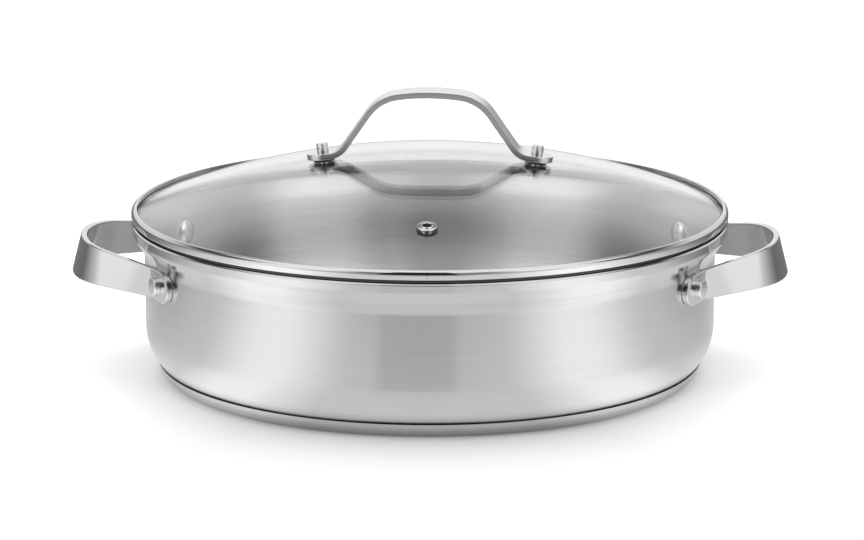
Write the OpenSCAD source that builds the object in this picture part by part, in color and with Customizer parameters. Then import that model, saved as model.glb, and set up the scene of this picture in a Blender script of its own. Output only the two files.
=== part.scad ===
// Low saute pan with two strap handles, a capsule base and a domed glass lid.
// Millimetres. The origin is the centre of the base's underside, X runs through the
// two side handles, and Z is up.

/* [Pan body] */
// Outer diameter of the pan's straight wall
pan_d = 281.6; // [240:0.2:320]
// Height of the pan's lip above the table
pan_h = 76.6; // [70:0.1:110]
// Thickness of the pan's steel sheet
wall_t = 0.8; // [0.6:0.1:1.2]
// Radius of the large curve from the wall towards the bottom
corner_r = 28; // [20:1:32]
// Radius of the small curve where the bottom turns flat
heel_r = 4; // [3:0.5:8]
// Degrees that the large curve leaves to the small one
heel_turn = 41; // [30:1:55]

/* [Lip of the pan] */
// How far the lip stands out from the wall
lip_step = 6; // [5:0.5:8]
// Height of the upright lip
lip_h = 4; // [3.8:0.1:8]
// Steepness of the slope below the lip, in degrees
flare_angle = 54; // [45:1:65]
// Radius of the bend where the wall turns into the slope
flare_low_r = 1.5; // [1:0.5:4]
// Radius of the bend where the slope turns into the lip
flare_high_r = 4; // [2:0.5:5]

/* [Capsule base] */
// Thickness of the aluminium disc in the base
core_t = 5.1; // [3:0.1:8]
// Gap between the disc's edge and the start of the cap's curve
core_inset = 1; // [0.5:0.5:6]
// Thickness of the steel cap under the base
cap_t = 0.6; // [0.4:0.1:1]
// Radius of the cap's rounded edge
cap_r = 7; // [6.5:0.5:10]
// How far the cap's edge stands proud of the pan's curve
cap_proud = 0.7; // [0.7:0.05:1.5]
// How far the cap's edge rises past the disc
cap_lap = 0.9; // [0.5:0.1:1.4]

/* [Side handles] */
// How far the handle's loop stands out from the wall
handle_reach = 34; // [28:0.5:45]
// Thickness of the handle's strap
strap_t = 3; // [2:0.1:4]
// Width of the strap at the far end of the loop
strap_w = 19.8; // [17:0.1:24]
// Width of the strap where it lies on the wall
lug_w = 14.7; // [12:0.1:17]
// Outer radius of the loop's far end
crown_r = 64; // [50:1:90]
// Degrees from the loop's middle to where its corners start
crown_half = 17; // [10:1:25]
// Outer radius of the loop's corners
loop_r = 32.4; // [26:0.2:36]
// Degrees from the loop's middle to where its arms run straight
arm_angle = 55.4; // [50:0.2:60]
// Radius of the bend between an arm and its lug
bend_r = 3; // [2:0.5:5]
// Distance from the bend to the rivet, along the wall
rivet_setback = 8.2; // [7:0.1:14]
// Distance from the rivet to the end of the lug
lug_tail = 12.3; // [9:0.1:16]
// Height of the rivets below the pan's lip
rivet_drop = 21.6; // [20.5:0.1:35]
// Rise of the loop away from the pan, in degrees
loop_rise = 6.4; // [0:0.2:10]
// Lean of the strap at the loop's far end, in degrees
strap_lean = 14.5; // [0:0.5:20]
// Width of the strap's broken edges
strap_edge = 0.5; // [0.2:0.1:0.8]
// Clearance between a lug and the wall
lug_gap = 0.1; // [0.05:0.05:0.3]

/* [Rivets] */
// Diameter of a rivet's outer head
rivet_head_d = 9.1; // [7:0.1:11]
// Height of a rivet's outer head
rivet_head_h = 2.6; // [1.5:0.1:4]
// Diameter of a rivet's inner head
rivet_inner_d = 12.8; // [9:0.1:14]
// Height of a rivet's inner head
rivet_inner_h = 2; // [1.2:0.1:3]
// Diameter of a rivet's shank
rivet_d = 5; // [4:0.1:6]
// Clearance round a rivet's shank
rivet_gap = 0.1; // [0.05:0.05:0.2]

/* [Glass lid] */
// Rise of the dome over its edge
dome_rise = 27; // [18:0.1:40]
// Thickness of the glass
glass_t = 4; // [3:0.1:5]
// Clearance round the glass inside its steel band
glass_gap = 0.2; // [0.1:0.05:0.3]
// Height of the glass's edge over the pan's lip
glass_lift = 3.9; // [3:0.1:4.2]

/* [Steel band of the lid] */
// How far the band stands out past the lip
band_proud = 0.3; // [0.2:0.1:1.5]
// Height of the band's outer bead
bead_h = 4.4; // [4.2:0.1:7]
// Radius of the bead's upper edge
bead_r = 1.6; // [1:0.1:2.4]
// Width of the bead's top
bead_top = 1.9; // [1.5:0.1:2.4]
// Height of the shadow gap between the lip and the bead
seat_gap = 1.4; // [0.6:0.1:1.6]
// Clearance between the seated band and the lip
rest_gap = 0.1; // [0.05:0.05:0.2]
// Radial clearance between the band's skirt and the lip
skirt_gap = 0.6; // [0.4:0.1:1]
// Depth of the skirt inside the lip
skirt_h = 4.4; // [4:0.1:5]
// Thickness of the skirt
skirt_t = 0.8; // [0.5:0.1:1]

/* [Lid handle] */
// Turn of the handle against the line through the side handles, in degrees
lid_turn = -2.2; // [-90:0.1:90]
// Distance between the two studs, where they meet the glass
stud_pitch = 104.4; // [95:0.2:115]
// Depth of the handle's strap
arch_w = 16; // [12:0.5:18]
// Thickness of the handle's strap
arch_t = 3; // [2:0.1:4]
// Height of the handle's top over the dome's top
arch_h = 32.6; // [28:0.1:45]
// Radius of the handle's gently crowned top
arch_crown_r = 114; // [80:1:160]
// Degrees from the middle of the top to where a shoulder starts
arch_crown_half = 7.7; // [5:0.1:10]
// Radius of the shoulders
shoulder_r = 21.6; // [16:0.2:24]
// Steepness of the legs, in degrees
leg_angle = 55.2; // [50:0.2:60]
// Radius of the bends above the feet
ankle_r = 10.8; // [6:0.2:12]
// Thickness of the gasket under a foot
outer_gasket_t = 1.5; // [1.2:0.1:2.5]

/* [Lid fasteners] */
// Diameter of a stud's head
stud_d = 5.8; // [5.4:0.1:7]
// Height of a stud's head
stud_h = 4.7; // [3:0.1:6]
// Outer diameter of a stud's sleeve
sleeve_d = 5; // [4.5:0.1:5.2]
// Diameter of the screw inside the sleeve
screw_d = 3; // [2.5:0.1:3.2]
// Diameter of the screw's head
screw_head_d = 9; // [7:0.1:10]
// Height of the screw's head
screw_head_h = 2.4; // [2.2:0.1:3]
// Diameter of the outer gaskets
outer_gasket_d = 10.6; // [9:0.1:15]
// Diameter of the inner gaskets and washers
inner_gasket_d = 12.4; // [11:0.1:15]
// Thickness of an inner gasket
inner_gasket_t = 1.5; // [1:0.1:2.5]
// Thickness of an inner washer
washer_t = 1; // [0.6:0.1:1.5]
// Clearance round sleeves and screws
bore_gap = 0.1; // [0.05:0.05:0.2]

/* [Steam vent] */
// Distance of the vent from the glass's edge
vent_inset = 41.2; // [30:0.2:60]
// Direction of the vent, in degrees from the line of the lid handle
vent_angle = -87.4; // [-120:0.1:-60]
// Diameter of the steam hole
vent_bore_d = 4.3; // [3:0.1:5]
// Outer diameter of the eyelet's tube
vent_tube_d = 6; // [5.6:0.1:7]
// Diameter of the eyelet's flange
vent_flange_d = 9.4; // [8.6:0.1:11]
// Thickness of the eyelet's flange
vent_flange_t = 0.9; // [0.6:0.1:1.5]
// Diameter of the washer under the glass
vent_washer_d = 10; // [9:0.1:12]
// Thickness of the washer under the glass
vent_washer_t = 1; // [0.6:0.1:1.5]

/* [Hidden] */
$fn = 96;

steel = [0.76, 0.76, 0.77];
bright_steel = [0.84, 0.84, 0.85];
satin_steel = [0.68, 0.68, 0.7];
aluminium = [0.72, 0.72, 0.74];
clear_glass = [0.86, 0.92, 0.92, 0.35];
black_rubber = [0.08, 0.08, 0.09];

// Fine circles for the long, flat arcs of the dome.
dome_fn = 720;
ring_fn = 240;
// A length that reaches past whatever it cuts.
past = 1;
// A flat face keeps this far off a curved one.
seat = 0.03;

pan_r = pan_d / 2;
base_h = cap_t + core_t;
heel_z = base_h + heel_r;
corner_x = pan_r - corner_r;
heel_x = corner_x + (corner_r - heel_r) * cos(heel_turn);
corner_z = heel_z + (corner_r - heel_r) * sin(heel_turn);
lip_r = pan_r + lip_step;
lip_in_r = lip_r - wall_t;
lip_z = pan_h - lip_h;
flare_turn = 90 - flare_angle;
flare_top = [
    lip_r - flare_high_r * (1 - cos(flare_turn)),
    lip_z - flare_high_r * sin(flare_turn)
];
flare_foot_x = pan_r + flare_low_r * (1 - cos(flare_turn));
flare_z = flare_top[1] - (flare_top[0] - flare_foot_x) * tan(flare_angle)
    - flare_low_r * sin(flare_turn);

cap_x = heel_x + heel_r * cos(heel_turn) + cap_proud;
cap_flat_r = cap_x - cap_r;
cap_top = base_h + cap_lap;

// Plan of a side handle: three tangent arcs, an arm, a bend and a lug on the wall.
loop_end_x = pan_r + handle_reach;
crown_x = loop_end_x - crown_r;
loop_x = crown_x + (crown_r - loop_r) * cos(crown_half);
loop_y = (crown_r - loop_r) * sin(crown_half);
lug_out_r = pan_r + lug_gap + strap_t;
lug_mid_r = pan_r + lug_gap + strap_t / 2;
arm_line = loop_x * cos(arm_angle) + loop_y * sin(arm_angle) + loop_r;
bend_angle = arm_angle - acos((arm_line + bend_r) / (lug_out_r + bend_r));
bend_x = (lug_out_r + bend_r) * cos(bend_angle);
bend_y = (lug_out_r + bend_r) * sin(bend_angle);
rivet_angle = bend_angle + rivet_setback / lug_out_r * 180 / PI;
lug_end_angle = rivet_angle + lug_tail / lug_out_r * 180 / PI;
nose_angle = lug_end_angle - lug_w / 2 / lug_mid_r * 180 / PI;
rivet_z = pan_h - rivet_drop;
arm_foot_x = bend_x - bend_r * cos(arm_angle);
arm_head_x = loop_x + loop_r * cos(arm_angle);

// Seats of a rivet's two heads, on the outside of the lug and the inside of the wall.
rivet_out_x = lug_out_r;
pan_in_r = pan_r - wall_t;
rivet_in_x = sqrt(pow(pan_in_r, 2) - pow(rivet_inner_d / 2, 2)) - seat;
rivet_hole_d = rivet_d + 2 * rivet_gap;

// The lid's band sits on the lip and its skirt drops inside it.
seat_z = pan_h + rest_gap;
bead_z = seat_z + seat_gap;
band_top = bead_z + bead_h;
band_r = lip_r + band_proud;
skirt_r = lip_in_r - skirt_gap;
groove_r = skirt_r - skirt_t;
glass_r = groove_r - glass_gap;
glass_edge_z = pan_h + glass_lift;
dome_r = (pow(glass_r, 2) + pow(dome_rise, 2)) / (2 * dome_rise);
dome_z = glass_edge_z + dome_rise - dome_r;
bead_in_r = band_r - bead_r - bead_top;

// Levels along a stud's line, from the glass's outside at zero.
stud_lean = asin(stud_pitch / 2 / dome_r);
foot_low = seat + outer_gasket_t;
foot_high = foot_low + arch_t;
gasket_sink = pow(inner_gasket_d / 2, 2) / (2 * (dome_r - glass_t)) + seat;
gasket_top = -glass_t - gasket_sink;
gasket_low = gasket_top - inner_gasket_t;
washer_low = gasket_low - washer_t;
sleeve_bore_d = screw_d + 2 * bore_gap;
sleeve_hole_d = sleeve_d + 2 * bore_gap;
vent_lean = asin((glass_r - vent_inset) / dome_r);
vent_hole_d = vent_tube_d + 2 * bore_gap;

// Height of the dome's surface at a distance from the axis, a depth below its outside.
function dome_height(reach, depth) = dome_z + sqrt(pow(dome_r - depth, 2) - pow(reach, 2));

// Points of an arc in a plane, from one angle to another.
function arc(x, y, r, from, to, steps = 8) = [
    for (i = [0 : steps]) let (a = from + (to - from) * i / steps)
        [x + r * cos(a), y + r * sin(a)]
];

function reversed(points) = [for (i = [len(points) - 1 : -1 : 0]) points[i]];

// The pan's profile, a depth inside its outer surface.
function pan_profile(depth) = concat(
    [[0, base_h + depth]],
    arc(heel_x, heel_z, heel_r - depth, -90, -heel_turn, 5),
    arc(corner_x, corner_z, corner_r - depth, -heel_turn, 0, 12),
    arc(pan_r + flare_low_r, flare_z, flare_low_r + depth, 180, 180 - flare_turn, 4),
    arc(lip_r - flare_high_r, lip_z, flare_high_r - depth, -flare_turn, 0, 6),
    [[lip_r - depth, pan_h]]
);

// Middle line of half a side handle: each entry is x, y and the direction it faces.
// The last point of an arc is left to the next one, unless it is asked for.
function loop_arc(x, y, r, from, to, steps, last = 0) = [
    for (i = [0 : steps - 1 + last]) let (a = from + (to - from) * i / steps)
        [x + r * cos(a), y + r * sin(a), a]
];
half_loop = concat(
    loop_arc(crown_x, 0, crown_r - strap_t / 2, 0, crown_half, 4),
    loop_arc(loop_x, loop_y, loop_r - strap_t / 2, crown_half, arm_angle, 12),
    [for (i = [0 : 3]) let (
        head = [loop_x, loop_y] + (loop_r - strap_t / 2) * [cos(arm_angle), sin(arm_angle)],
        foot = [bend_x, bend_y] - (bend_r + strap_t / 2) * [cos(arm_angle), sin(arm_angle)],
        p = head + (foot - head) * i / 4
    ) [p[0], p[1], arm_angle]],
    [for (i = [0 : 5]) let (
        a = arm_angle + (bend_angle - arm_angle) * i / 6,
        r = bend_r + strap_t / 2
    ) [bend_x - r * cos(a), bend_y - r * sin(a), a]],
    loop_arc(0, 0, lug_mid_r, bend_angle, lug_end_angle + past, 8, 1)
);
loop = concat(
    [for (i = [len(half_loop) - 1 : -1 : 1])
        [half_loop[i][0], -half_loop[i][1], -half_loop[i][2]]],
    half_loop
);

function part_way(x, low, high) = max(0, min(1, (x - low) / (high - low)));

// One cross-section of the strap, leaning outward at its lower edge.
function strap_section(station) = let (
    x = station[0],
    face = station[2],
    out = part_way(x, arm_foot_x, loop_end_x),
    w = lug_w + (strap_w - lug_w) * out,
    z = rivet_z + max(0, x - arm_foot_x) * tan(loop_rise),
    lean = asin(sin(strap_lean) * cos(face)) * part_way(x, arm_foot_x, arm_head_x),
    across = [cos(lean) * cos(face), cos(lean) * sin(face), sin(lean)],
    up = [-sin(lean) * cos(face), -sin(lean) * sin(face), cos(lean)],
    t = strap_t / 2,
    h = w / 2,
    e = strap_edge
) [for (p = [
        [t, h - e], [t - e, h], [e - t, h], [-t, h - e],
        [-t, e - h], [e - t, -h], [t - e, -h], [t, e - h]
    ]) [x, station[1], z] + p[0] * across + p[1] * up];

module side_strap() {
    sides = 8;
    rings = len(loop);
    points = [for (s = loop, p = strap_section(s)) p];
    walls = [for (i = [0 : rings - 2], j = [0 : sides - 1]) let (
        a = i * sides + j,
        b = i * sides + (j + 1) % sides
    ) [a, b, b + sides, a + sides]];
    first = [for (j = [sides - 1 : -1 : 0]) j];
    last = [for (j = [0 : sides - 1]) (rings - 1) * sides + j];
    polyhedron(points = points, faces = concat(walls, [first, last]), convexity = 6);
}

// Places a piece, drawn along +Z, on the radial line of a rivet at its height.
module on_rivet_line(angle) {
    rotate([0, 0, angle])
        translate([0, 0, rivet_z])
            rotate([0, 90, 0])
                children();
}

module rivet_holes(angles) {
    for (a = angles)
        on_rivet_line(a)
            translate([0, 0, rivet_in_x - past])
                cylinder(d = rivet_hole_d, h = lug_out_r - rivet_in_x + 2 * past);
}

module side_handle() {
    nose_from = pan_r - past;
    nose_depth = strap_t + 3 * past;
    difference() {
        side_strap();
        rivet_holes([rivet_angle, -rivet_angle]);
        for (side = [-1, 1])
            rotate([0, 0, side * nose_angle])
                translate([nose_from, 0, rivet_z])
                    difference() {
                        translate([0, side * lug_w / 2, 0])
                            translate([nose_depth / 2, 0, 0])
                                cube([nose_depth, lug_w, 2 * lug_w], center = true);
                        translate([-past, 0, 0])
                            rotate([0, 90, 0])
                                cylinder(d = lug_w, h = nose_depth + 2 * past);
                    }
    }
}

// A rivet with a flat-domed outer head and a low domed inner head.
module rivet(angle) {
    edge = min(1.1, rivet_head_h / 2);
    crown = 0.35;
    dome_steps = 8;
    head_r = rivet_head_d / 2;
    top = rivet_out_x + rivet_head_h;
    outer = concat(
        [[head_r, rivet_out_x]],
        arc(head_r - edge, top - crown - edge, edge, 0, 80, 6),
        [[0, top]]
    );
    inner = [for (i = [0 : dome_steps]) let (a = 90 * i / dome_steps)
        [rivet_inner_d / 2 * sin(a), rivet_in_x - rivet_inner_h * cos(a)]];
    color(bright_steel)
        on_rivet_line(angle)
            rotate_extrude($fn = 64)
                polygon(concat(
                    inner,
                    [[rivet_d / 2, rivet_in_x], [rivet_d / 2, rivet_out_x]],
                    outer
                ));
}

module pan_body() {
    angles = [rivet_angle, -rivet_angle, 180 - rivet_angle, 180 + rivet_angle];
    color(steel)
        difference() {
            rotate_extrude($fn = ring_fn)
                polygon(concat(pan_profile(0), reversed(pan_profile(wall_t))));
            rivet_holes(angles);
        }
}

module base_core() {
    color(aluminium)
        translate([0, 0, cap_t])
            cylinder(r = cap_flat_r - core_inset, h = core_t, $fn = ring_fn);
}

module base_cap() {
    out_end = asin((cap_top - cap_r) / cap_r);
    in_end = asin((cap_top - cap_r) / (cap_r - cap_t));
    color(satin_steel)
        rotate_extrude($fn = ring_fn)
            polygon(concat(
                [[0, 0]],
                arc(cap_flat_r, cap_r, cap_r, -90, out_end, 10),
                reversed(arc(cap_flat_r, cap_r, cap_r - cap_t, -90, in_end, 10)),
                [[0, cap_t]]
            ));
}

module left_handle() {
    color(bright_steel)
        mirror([1, 0, 0])
            side_handle();
}

module right_handle() {
    color(bright_steel)
        side_handle();
}

module left_front_rivet() {
    rivet(180 + rivet_angle);
}

module left_rear_rivet() {
    rivet(180 - rivet_angle);
}

module right_front_rivet() {
    rivet(-rivet_angle);
}

module right_rear_rivet() {
    rivet(rivet_angle);
}

// The ball that the dome is cut from, a depth inside its outer surface.
module dome_ball(depth) {
    translate([0, 0, dome_z])
        sphere(r = dome_r - depth, $fn = dome_fn);
}

// Places a piece, drawn along +Z, on the dome's outside, square to the glass.
module on_dome(direction, lean) {
    rotate([0, 0, direction])
        translate([0, 0, dome_z])
            rotate([0, lean, 0])
                translate([0, 0, dome_r])
                    children();
}

// Places a piece at the left or right stud, with X away from the lid's centre.
module on_stud(side) {
    on_dome(lid_turn + 90 - 90 * side, stud_lean)
        children();
}

module on_vent() {
    on_dome(lid_turn + vent_angle, vent_lean)
        children();
}

module lid_glass() {
    color(clear_glass)
        difference() {
            intersection() {
                dome_ball(0);
                translate([0, 0, glass_edge_z - 2 * glass_t])
                    cylinder(r = glass_r, h = dome_rise + 3 * glass_t, $fn = ring_fn);
            }
            dome_ball(glass_t);
            for (side = [-1, 1])
                on_stud(side)
                    translate([0, 0, gasket_low])
                        cylinder(d = sleeve_hole_d, h = foot_high - gasket_low);
            on_vent()
                translate([0, 0, -2 * glass_t])
                    cylinder(d = vent_hole_d, h = 3 * glass_t);
        }
}

module lid_rim() {
    curl = 1;
    hook = 1.1;
    hook_h = 0.9;
    low_r = 0.4;
    step_r = lip_r - 0.3;
    lip_over_glass = dome_height(bead_in_r, 0) + glass_gap;
    hook_z = dome_height(glass_r, glass_t) - 2 * glass_gap;
    hook_tip_r = groove_r - hook;
    skirt_low = seat_z - skirt_h;
    color(bright_steel)
        rotate_extrude($fn = ring_fn)
            polygon(concat(
                [
                    [groove_r, skirt_low],
                    [skirt_r, skirt_low],
                    [skirt_r, seat_z],
                    [step_r, seat_z],
                    [step_r, bead_z]
                ],
                arc(band_r - low_r, bead_z + low_r, low_r, -90, 0, 3),
                arc(band_r - bead_r, band_top - bead_r, bead_r, 0, 90, 6),
                arc(bead_in_r + curl, band_top - curl, curl, 90, 180, 4),
                [
                    [bead_in_r, lip_over_glass],
                    [groove_r, dome_height(groove_r, 0) + glass_gap],
                    [groove_r, hook_z],
                    [hook_tip_r, hook_z],
                    [hook_tip_r, hook_z - hook_h],
                    [groove_r, hook_z - hook_h]
                ]
            ));
}

// One face of half the arch, seen from the front, a distance outside its middle line.
function arch_profile(out) = let (
    crown_z = dome_z + dome_r + arch_h - arch_t / 2 - arch_crown_r,
    gather = arch_crown_r - shoulder_r,
    shoulder = [gather * sin(arch_crown_half), crown_z + gather * cos(arch_crown_half)],
    leg_out = [sin(leg_angle), cos(leg_angle)],
    foot_out = [sin(stud_lean), cos(stud_lean)],
    foot_r = dome_r + foot_low + arch_t / 2,
    foot = [0, dome_z] + foot_r * foot_out,
    past_leg = shoulder * leg_out + shoulder_r + ankle_r,
    past_foot = foot * foot_out + ankle_r,
    ankle = [
        past_leg * foot_out[1] - past_foot * leg_out[1],
        past_foot * leg_out[0] - past_leg * foot_out[0]
    ] / sin(leg_angle - stud_lean),
    tip = foot + out * foot_out + arch_w * [foot_out[1], -foot_out[0]]
) concat(
    arc(0, crown_z, arch_crown_r + out, 90, 90 - arch_crown_half, 4),
    arc(shoulder[0], shoulder[1], shoulder_r + out, 90 - arch_crown_half, 90 - leg_angle, 10),
    arc(ankle[0], ankle[1], ankle_r - out, 270 - leg_angle, 270 - stud_lean, 8),
    [tip]
);

function mirrored(points) = [for (p = reversed(points)) [-p[0], p[1]]];

module lid_handle() {
    above = arch_profile(arch_t / 2);
    under = arch_profile(-arch_t / 2);
    inward = 0.6 * stud_pitch;
    color(satin_steel)
        difference() {
            intersection() {
                rotate([0, 0, lid_turn])
                    translate([0, arch_w, 0])
                        rotate([90, 0, 0])
                            linear_extrude(2 * arch_w)
                                polygon(concat(
                                    mirrored(above), above,
                                    reversed(under), reversed(mirrored(under))
                                ));
                for (side = [-1, 1])
                    on_stud(side) {
                        translate([-inward, -arch_w / 2, 0])
                            cube([inward, arch_w, arch_h + arch_w]);
                        cylinder(d = arch_w, h = arch_w);
                    }
            }
            for (side = [-1, 1])
                on_stud(side)
                    cylinder(d = sleeve_hole_d, h = foot_high + past);
        }
}

// A round-topped stud whose sleeve goes down through foot, gasket and glass.
module lid_stud(side) {
    edge = 0.7;
    cap_h = 0.4;
    head_r = stud_d / 2;
    top = foot_high + stud_h;
    bore_top = foot_high + stud_h / 2;
    color(bright_steel)
        on_stud(side)
            rotate_extrude($fn = 64)
                polygon(concat(
                    [
                        [sleeve_bore_d / 2, bore_top],
                        [sleeve_bore_d / 2, gasket_low],
                        [sleeve_d / 2, gasket_low],
                        [sleeve_d / 2, foot_high],
                        [head_r, foot_high]
                    ],
                    arc(head_r - edge, top - cap_h - edge, edge, 0, 75, 5),
                    [[0, top], [0, bore_top]]
                ));
}

// A low domed screw with a cross recess, driven into the stud from inside the lid.
module lid_screw(side) {
    recess_w = 1.1;
    recess_l = 4.6;
    recess_h = 1.5;
    low = washer_low - screw_head_h;
    rim_h = 0.8;
    color(bright_steel)
        on_stud(side)
            difference() {
                rotate_extrude($fn = 64)
                    polygon(concat(
                        [[0, foot_high], [0, low]],
                        [for (i = [1 : 6]) let (a = 15 * i) [
                            screw_head_d / 2 * sin(a),
                            washer_low - rim_h - (screw_head_h - rim_h) * cos(a)
                        ]],
                        [
                            [screw_head_d / 2, washer_low],
                            [screw_d / 2, washer_low],
                            [screw_d / 2, foot_high]
                        ]
                    ));
                for (turn = [0, 90])
                    rotate([0, 0, turn])
                        translate([0, 0, low])
                            cube([recess_l, recess_w, 2 * recess_h], center = true);
            }
}

// A flat ring at a stud, from a level along the stud's line upward.
module stud_ring(side, low, thickness, outer_d, hole_d) {
    on_stud(side)
        translate([0, 0, low])
            difference() {
                cylinder(d = outer_d, h = thickness, $fn = 64);
                translate([0, 0, -past])
                    cylinder(d = hole_d, h = thickness + 2 * past);
            }
}

module outer_gasket(side) {
    color(black_rubber)
        stud_ring(side, seat, outer_gasket_t, outer_gasket_d, sleeve_hole_d);
}

module inner_gasket(side) {
    color(black_rubber)
        stud_ring(side, gasket_low, inner_gasket_t, inner_gasket_d, sleeve_hole_d);
}

module inner_washer(side) {
    color(steel)
        stud_ring(side, washer_low, washer_t, inner_gasket_d, sleeve_bore_d);
}

module left_lid_stud() {
    lid_stud(-1);
}

module right_lid_stud() {
    lid_stud(1);
}

module left_lid_screw() {
    lid_screw(-1);
}

module right_lid_screw() {
    lid_screw(1);
}

module left_outer_gasket() {
    outer_gasket(-1);
}

module right_outer_gasket() {
    outer_gasket(1);
}

module left_inner_gasket() {
    inner_gasket(-1);
}

module right_inner_gasket() {
    inner_gasket(1);
}

module left_inner_washer() {
    inner_washer(-1);
}

module right_inner_washer() {
    inner_washer(1);
}

// A steel eyelet: a flange on the glass, a tube through it and a rolled lower edge.
module vent_eyelet() {
    roll = 0.7;
    low = -glass_t - vent_washer_t - 2 * seat;
    flange_r = vent_flange_d / 2;
    roll_r = vent_tube_d / 2 + roll;
    top = seat + vent_flange_t;
    round_r = 0.4;
    color(bright_steel)
        on_vent()
            rotate_extrude($fn = 64)
                polygon(concat(
                    [
                        [vent_bore_d / 2, low - roll],
                        [roll_r, low - roll],
                        [roll_r, low],
                        [vent_tube_d / 2, low],
                        [vent_tube_d / 2, seat],
                        [flange_r, seat]
                    ],
                    arc(flange_r - round_r, top - round_r, round_r, 0, 90, 3),
                    arc(vent_bore_d / 2 + round_r, top - round_r, round_r, 90, 180, 3)
                ));
}

module vent_washer() {
    color(black_rubber)
        on_vent()
            translate([0, 0, -glass_t - seat - vent_washer_t])
                difference() {
                    cylinder(d = vent_washer_d, h = vent_washer_t, $fn = 64);
                    translate([0, 0, -past])
                        cylinder(d = vent_hole_d, h = vent_washer_t + 2 * past);
                }
}

pan_body();
base_core();
base_cap();
left_handle();
right_handle();
left_front_rivet();
left_rear_rivet();
right_front_rivet();
right_rear_rivet();
lid_glass();
lid_rim();
lid_handle();
left_lid_stud();
right_lid_stud();
left_lid_screw();
right_lid_screw();
left_outer_gasket();
right_outer_gasket();
left_inner_gasket();
right_inner_gasket();
left_inner_washer();
right_inner_washer();
vent_eyelet();
vent_washer();
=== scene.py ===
"""Dresses the low two-handled steel pan and its domed glass lid, and sets up the studio.

Sizes are in millimetres in the classes, and in metres in the meshes and the materials. The
pan's base stands at the origin, X runs through the two side handles, and the front looks
along -Y.
"""

import logging
import math
from dataclasses import dataclass
from enum import Enum
from typing import Sequence

import bmesh
import bpy
from mathutils import Matrix, Vector


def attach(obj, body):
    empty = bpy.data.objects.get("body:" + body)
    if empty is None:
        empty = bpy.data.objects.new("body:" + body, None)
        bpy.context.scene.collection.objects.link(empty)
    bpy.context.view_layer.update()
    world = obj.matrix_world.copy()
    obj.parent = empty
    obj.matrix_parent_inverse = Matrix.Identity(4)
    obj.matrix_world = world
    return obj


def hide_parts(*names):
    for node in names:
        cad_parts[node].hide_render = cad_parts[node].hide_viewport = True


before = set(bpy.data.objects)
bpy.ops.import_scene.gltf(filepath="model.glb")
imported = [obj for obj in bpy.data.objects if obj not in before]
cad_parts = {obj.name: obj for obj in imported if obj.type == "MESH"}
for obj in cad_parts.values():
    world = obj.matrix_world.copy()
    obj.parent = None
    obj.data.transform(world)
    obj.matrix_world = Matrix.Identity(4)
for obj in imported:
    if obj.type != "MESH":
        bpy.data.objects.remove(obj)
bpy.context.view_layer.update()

Point = tuple[float, float]
Colour = tuple[float, float, float]
Station = tuple[float, float, float, float]
Piece = bpy.types.Object
Socket = bpy.types.NodeSocket
Feeds = dict[str | int, object]

MM = 0.001
AXIS_R = 1e-6  # a point nearer to the axis than this is a single point, in millimetres
SHARP_ANGLE = 32  # an edge that turns by more stays sharp, in degrees
WIDE_STEPS = 320  # segments round the pan
SMALL_STEPS = 72  # segments round a fastener or a gasket
log = logging.getLogger("pan")


class Side(Enum):
    """Which end of the pan or of the lid handle a piece belongs to."""

    LEFT = -1
    RIGHT = 1


class Row(Enum):
    """Which of a side handle's two rivets is meant, seen from the camera."""

    FRONT = -1
    REAR = 1


# ---- outlines ------------------------------------------------------------------------


def arc(x: float, y: float, r: float, start: float, end: float, steps: int) -> list[Point]:
    """Gives the points of an arc, both ends included.

    Args:
        x, y: the arc's centre.
        r: its radius.
        start, end: its first and last angle in degrees.
        steps: how many chords it has.
    Returns:
        The points in order.
    """
    turns = [math.radians(start + (end - start) * i / steps) for i in range(steps + 1)]
    return [(x + r * math.cos(a), y + r * math.sin(a)) for a in turns]


def heading(angle: float) -> Vector:
    """Gives the flat unit vector at an angle in degrees."""
    return Vector((math.cos(math.radians(angle)), math.sin(math.radians(angle))))


def rounded(
    points: Sequence[Point], radius: float, corners: Sequence[int], steps: int
) -> list[Point]:
    """Rounds some corners of a closed outline.

    Args:
        points: the outline's corners.
        radius: the radius of each rounding.
        corners: the indices of the corners to round.
        steps: how many chords each rounding has.
    Returns:
        The outline with its roundings.
    """
    outline: list[Point] = []
    for i, point in enumerate(points):
        if i not in corners:
            outline.append(point)
            continue
        here = Vector(point)
        back = (Vector(points[i - 1]) - here).normalized()
        ahead = (Vector(points[(i + 1) % len(points)]) - here).normalized()
        half = math.acos(max(-1.0, min(1.0, back.dot(ahead)))) / 2
        centre = here + (back + ahead).normalized() * (radius / math.sin(half))
        first = here + back * (radius / math.tan(half)) - centre
        last = here + ahead * (radius / math.tan(half)) - centre
        for k in range(steps + 1):
            outline.append(tuple(centre + first.lerp(last, k / steps).normalized() * radius))
    return outline


# ---- meshes --------------------------------------------------------------------------


def new_piece(name: str, verts: Sequence[Vector], faces: Sequence[Sequence[int]]) -> Piece:
    """Makes an object from points in millimetres, with its faces turned outward.

    Args:
        name: the piece's name.
        verts: its points.
        faces: its faces, as indices of points.
    Returns:
        The object, linked to the scene.
    """
    mesh = bpy.data.meshes.new(name)
    mesh.from_pydata([tuple(v * MM for v in p) for p in verts], [], [tuple(f) for f in faces])
    made = bmesh.new()
    made.from_mesh(mesh)
    bmesh.ops.recalc_face_normals(made, faces=made.faces)
    made.to_mesh(mesh)
    made.free()
    mesh.shade_smooth()
    piece = bpy.data.objects.new(name, mesh)
    bpy.context.scene.collection.objects.link(piece)
    return piece


def settle(piece: Piece) -> None:
    """Puts a piece's modifiers into its mesh.

    Args:
        piece: the object to change.
    """
    bpy.context.view_layer.update()
    graph = bpy.context.evaluated_depsgraph_get()
    mesh = bpy.data.meshes.new_from_object(piece.evaluated_get(graph))
    piece.modifiers.clear()
    piece.data = mesh
    mesh.name = piece.name


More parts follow.
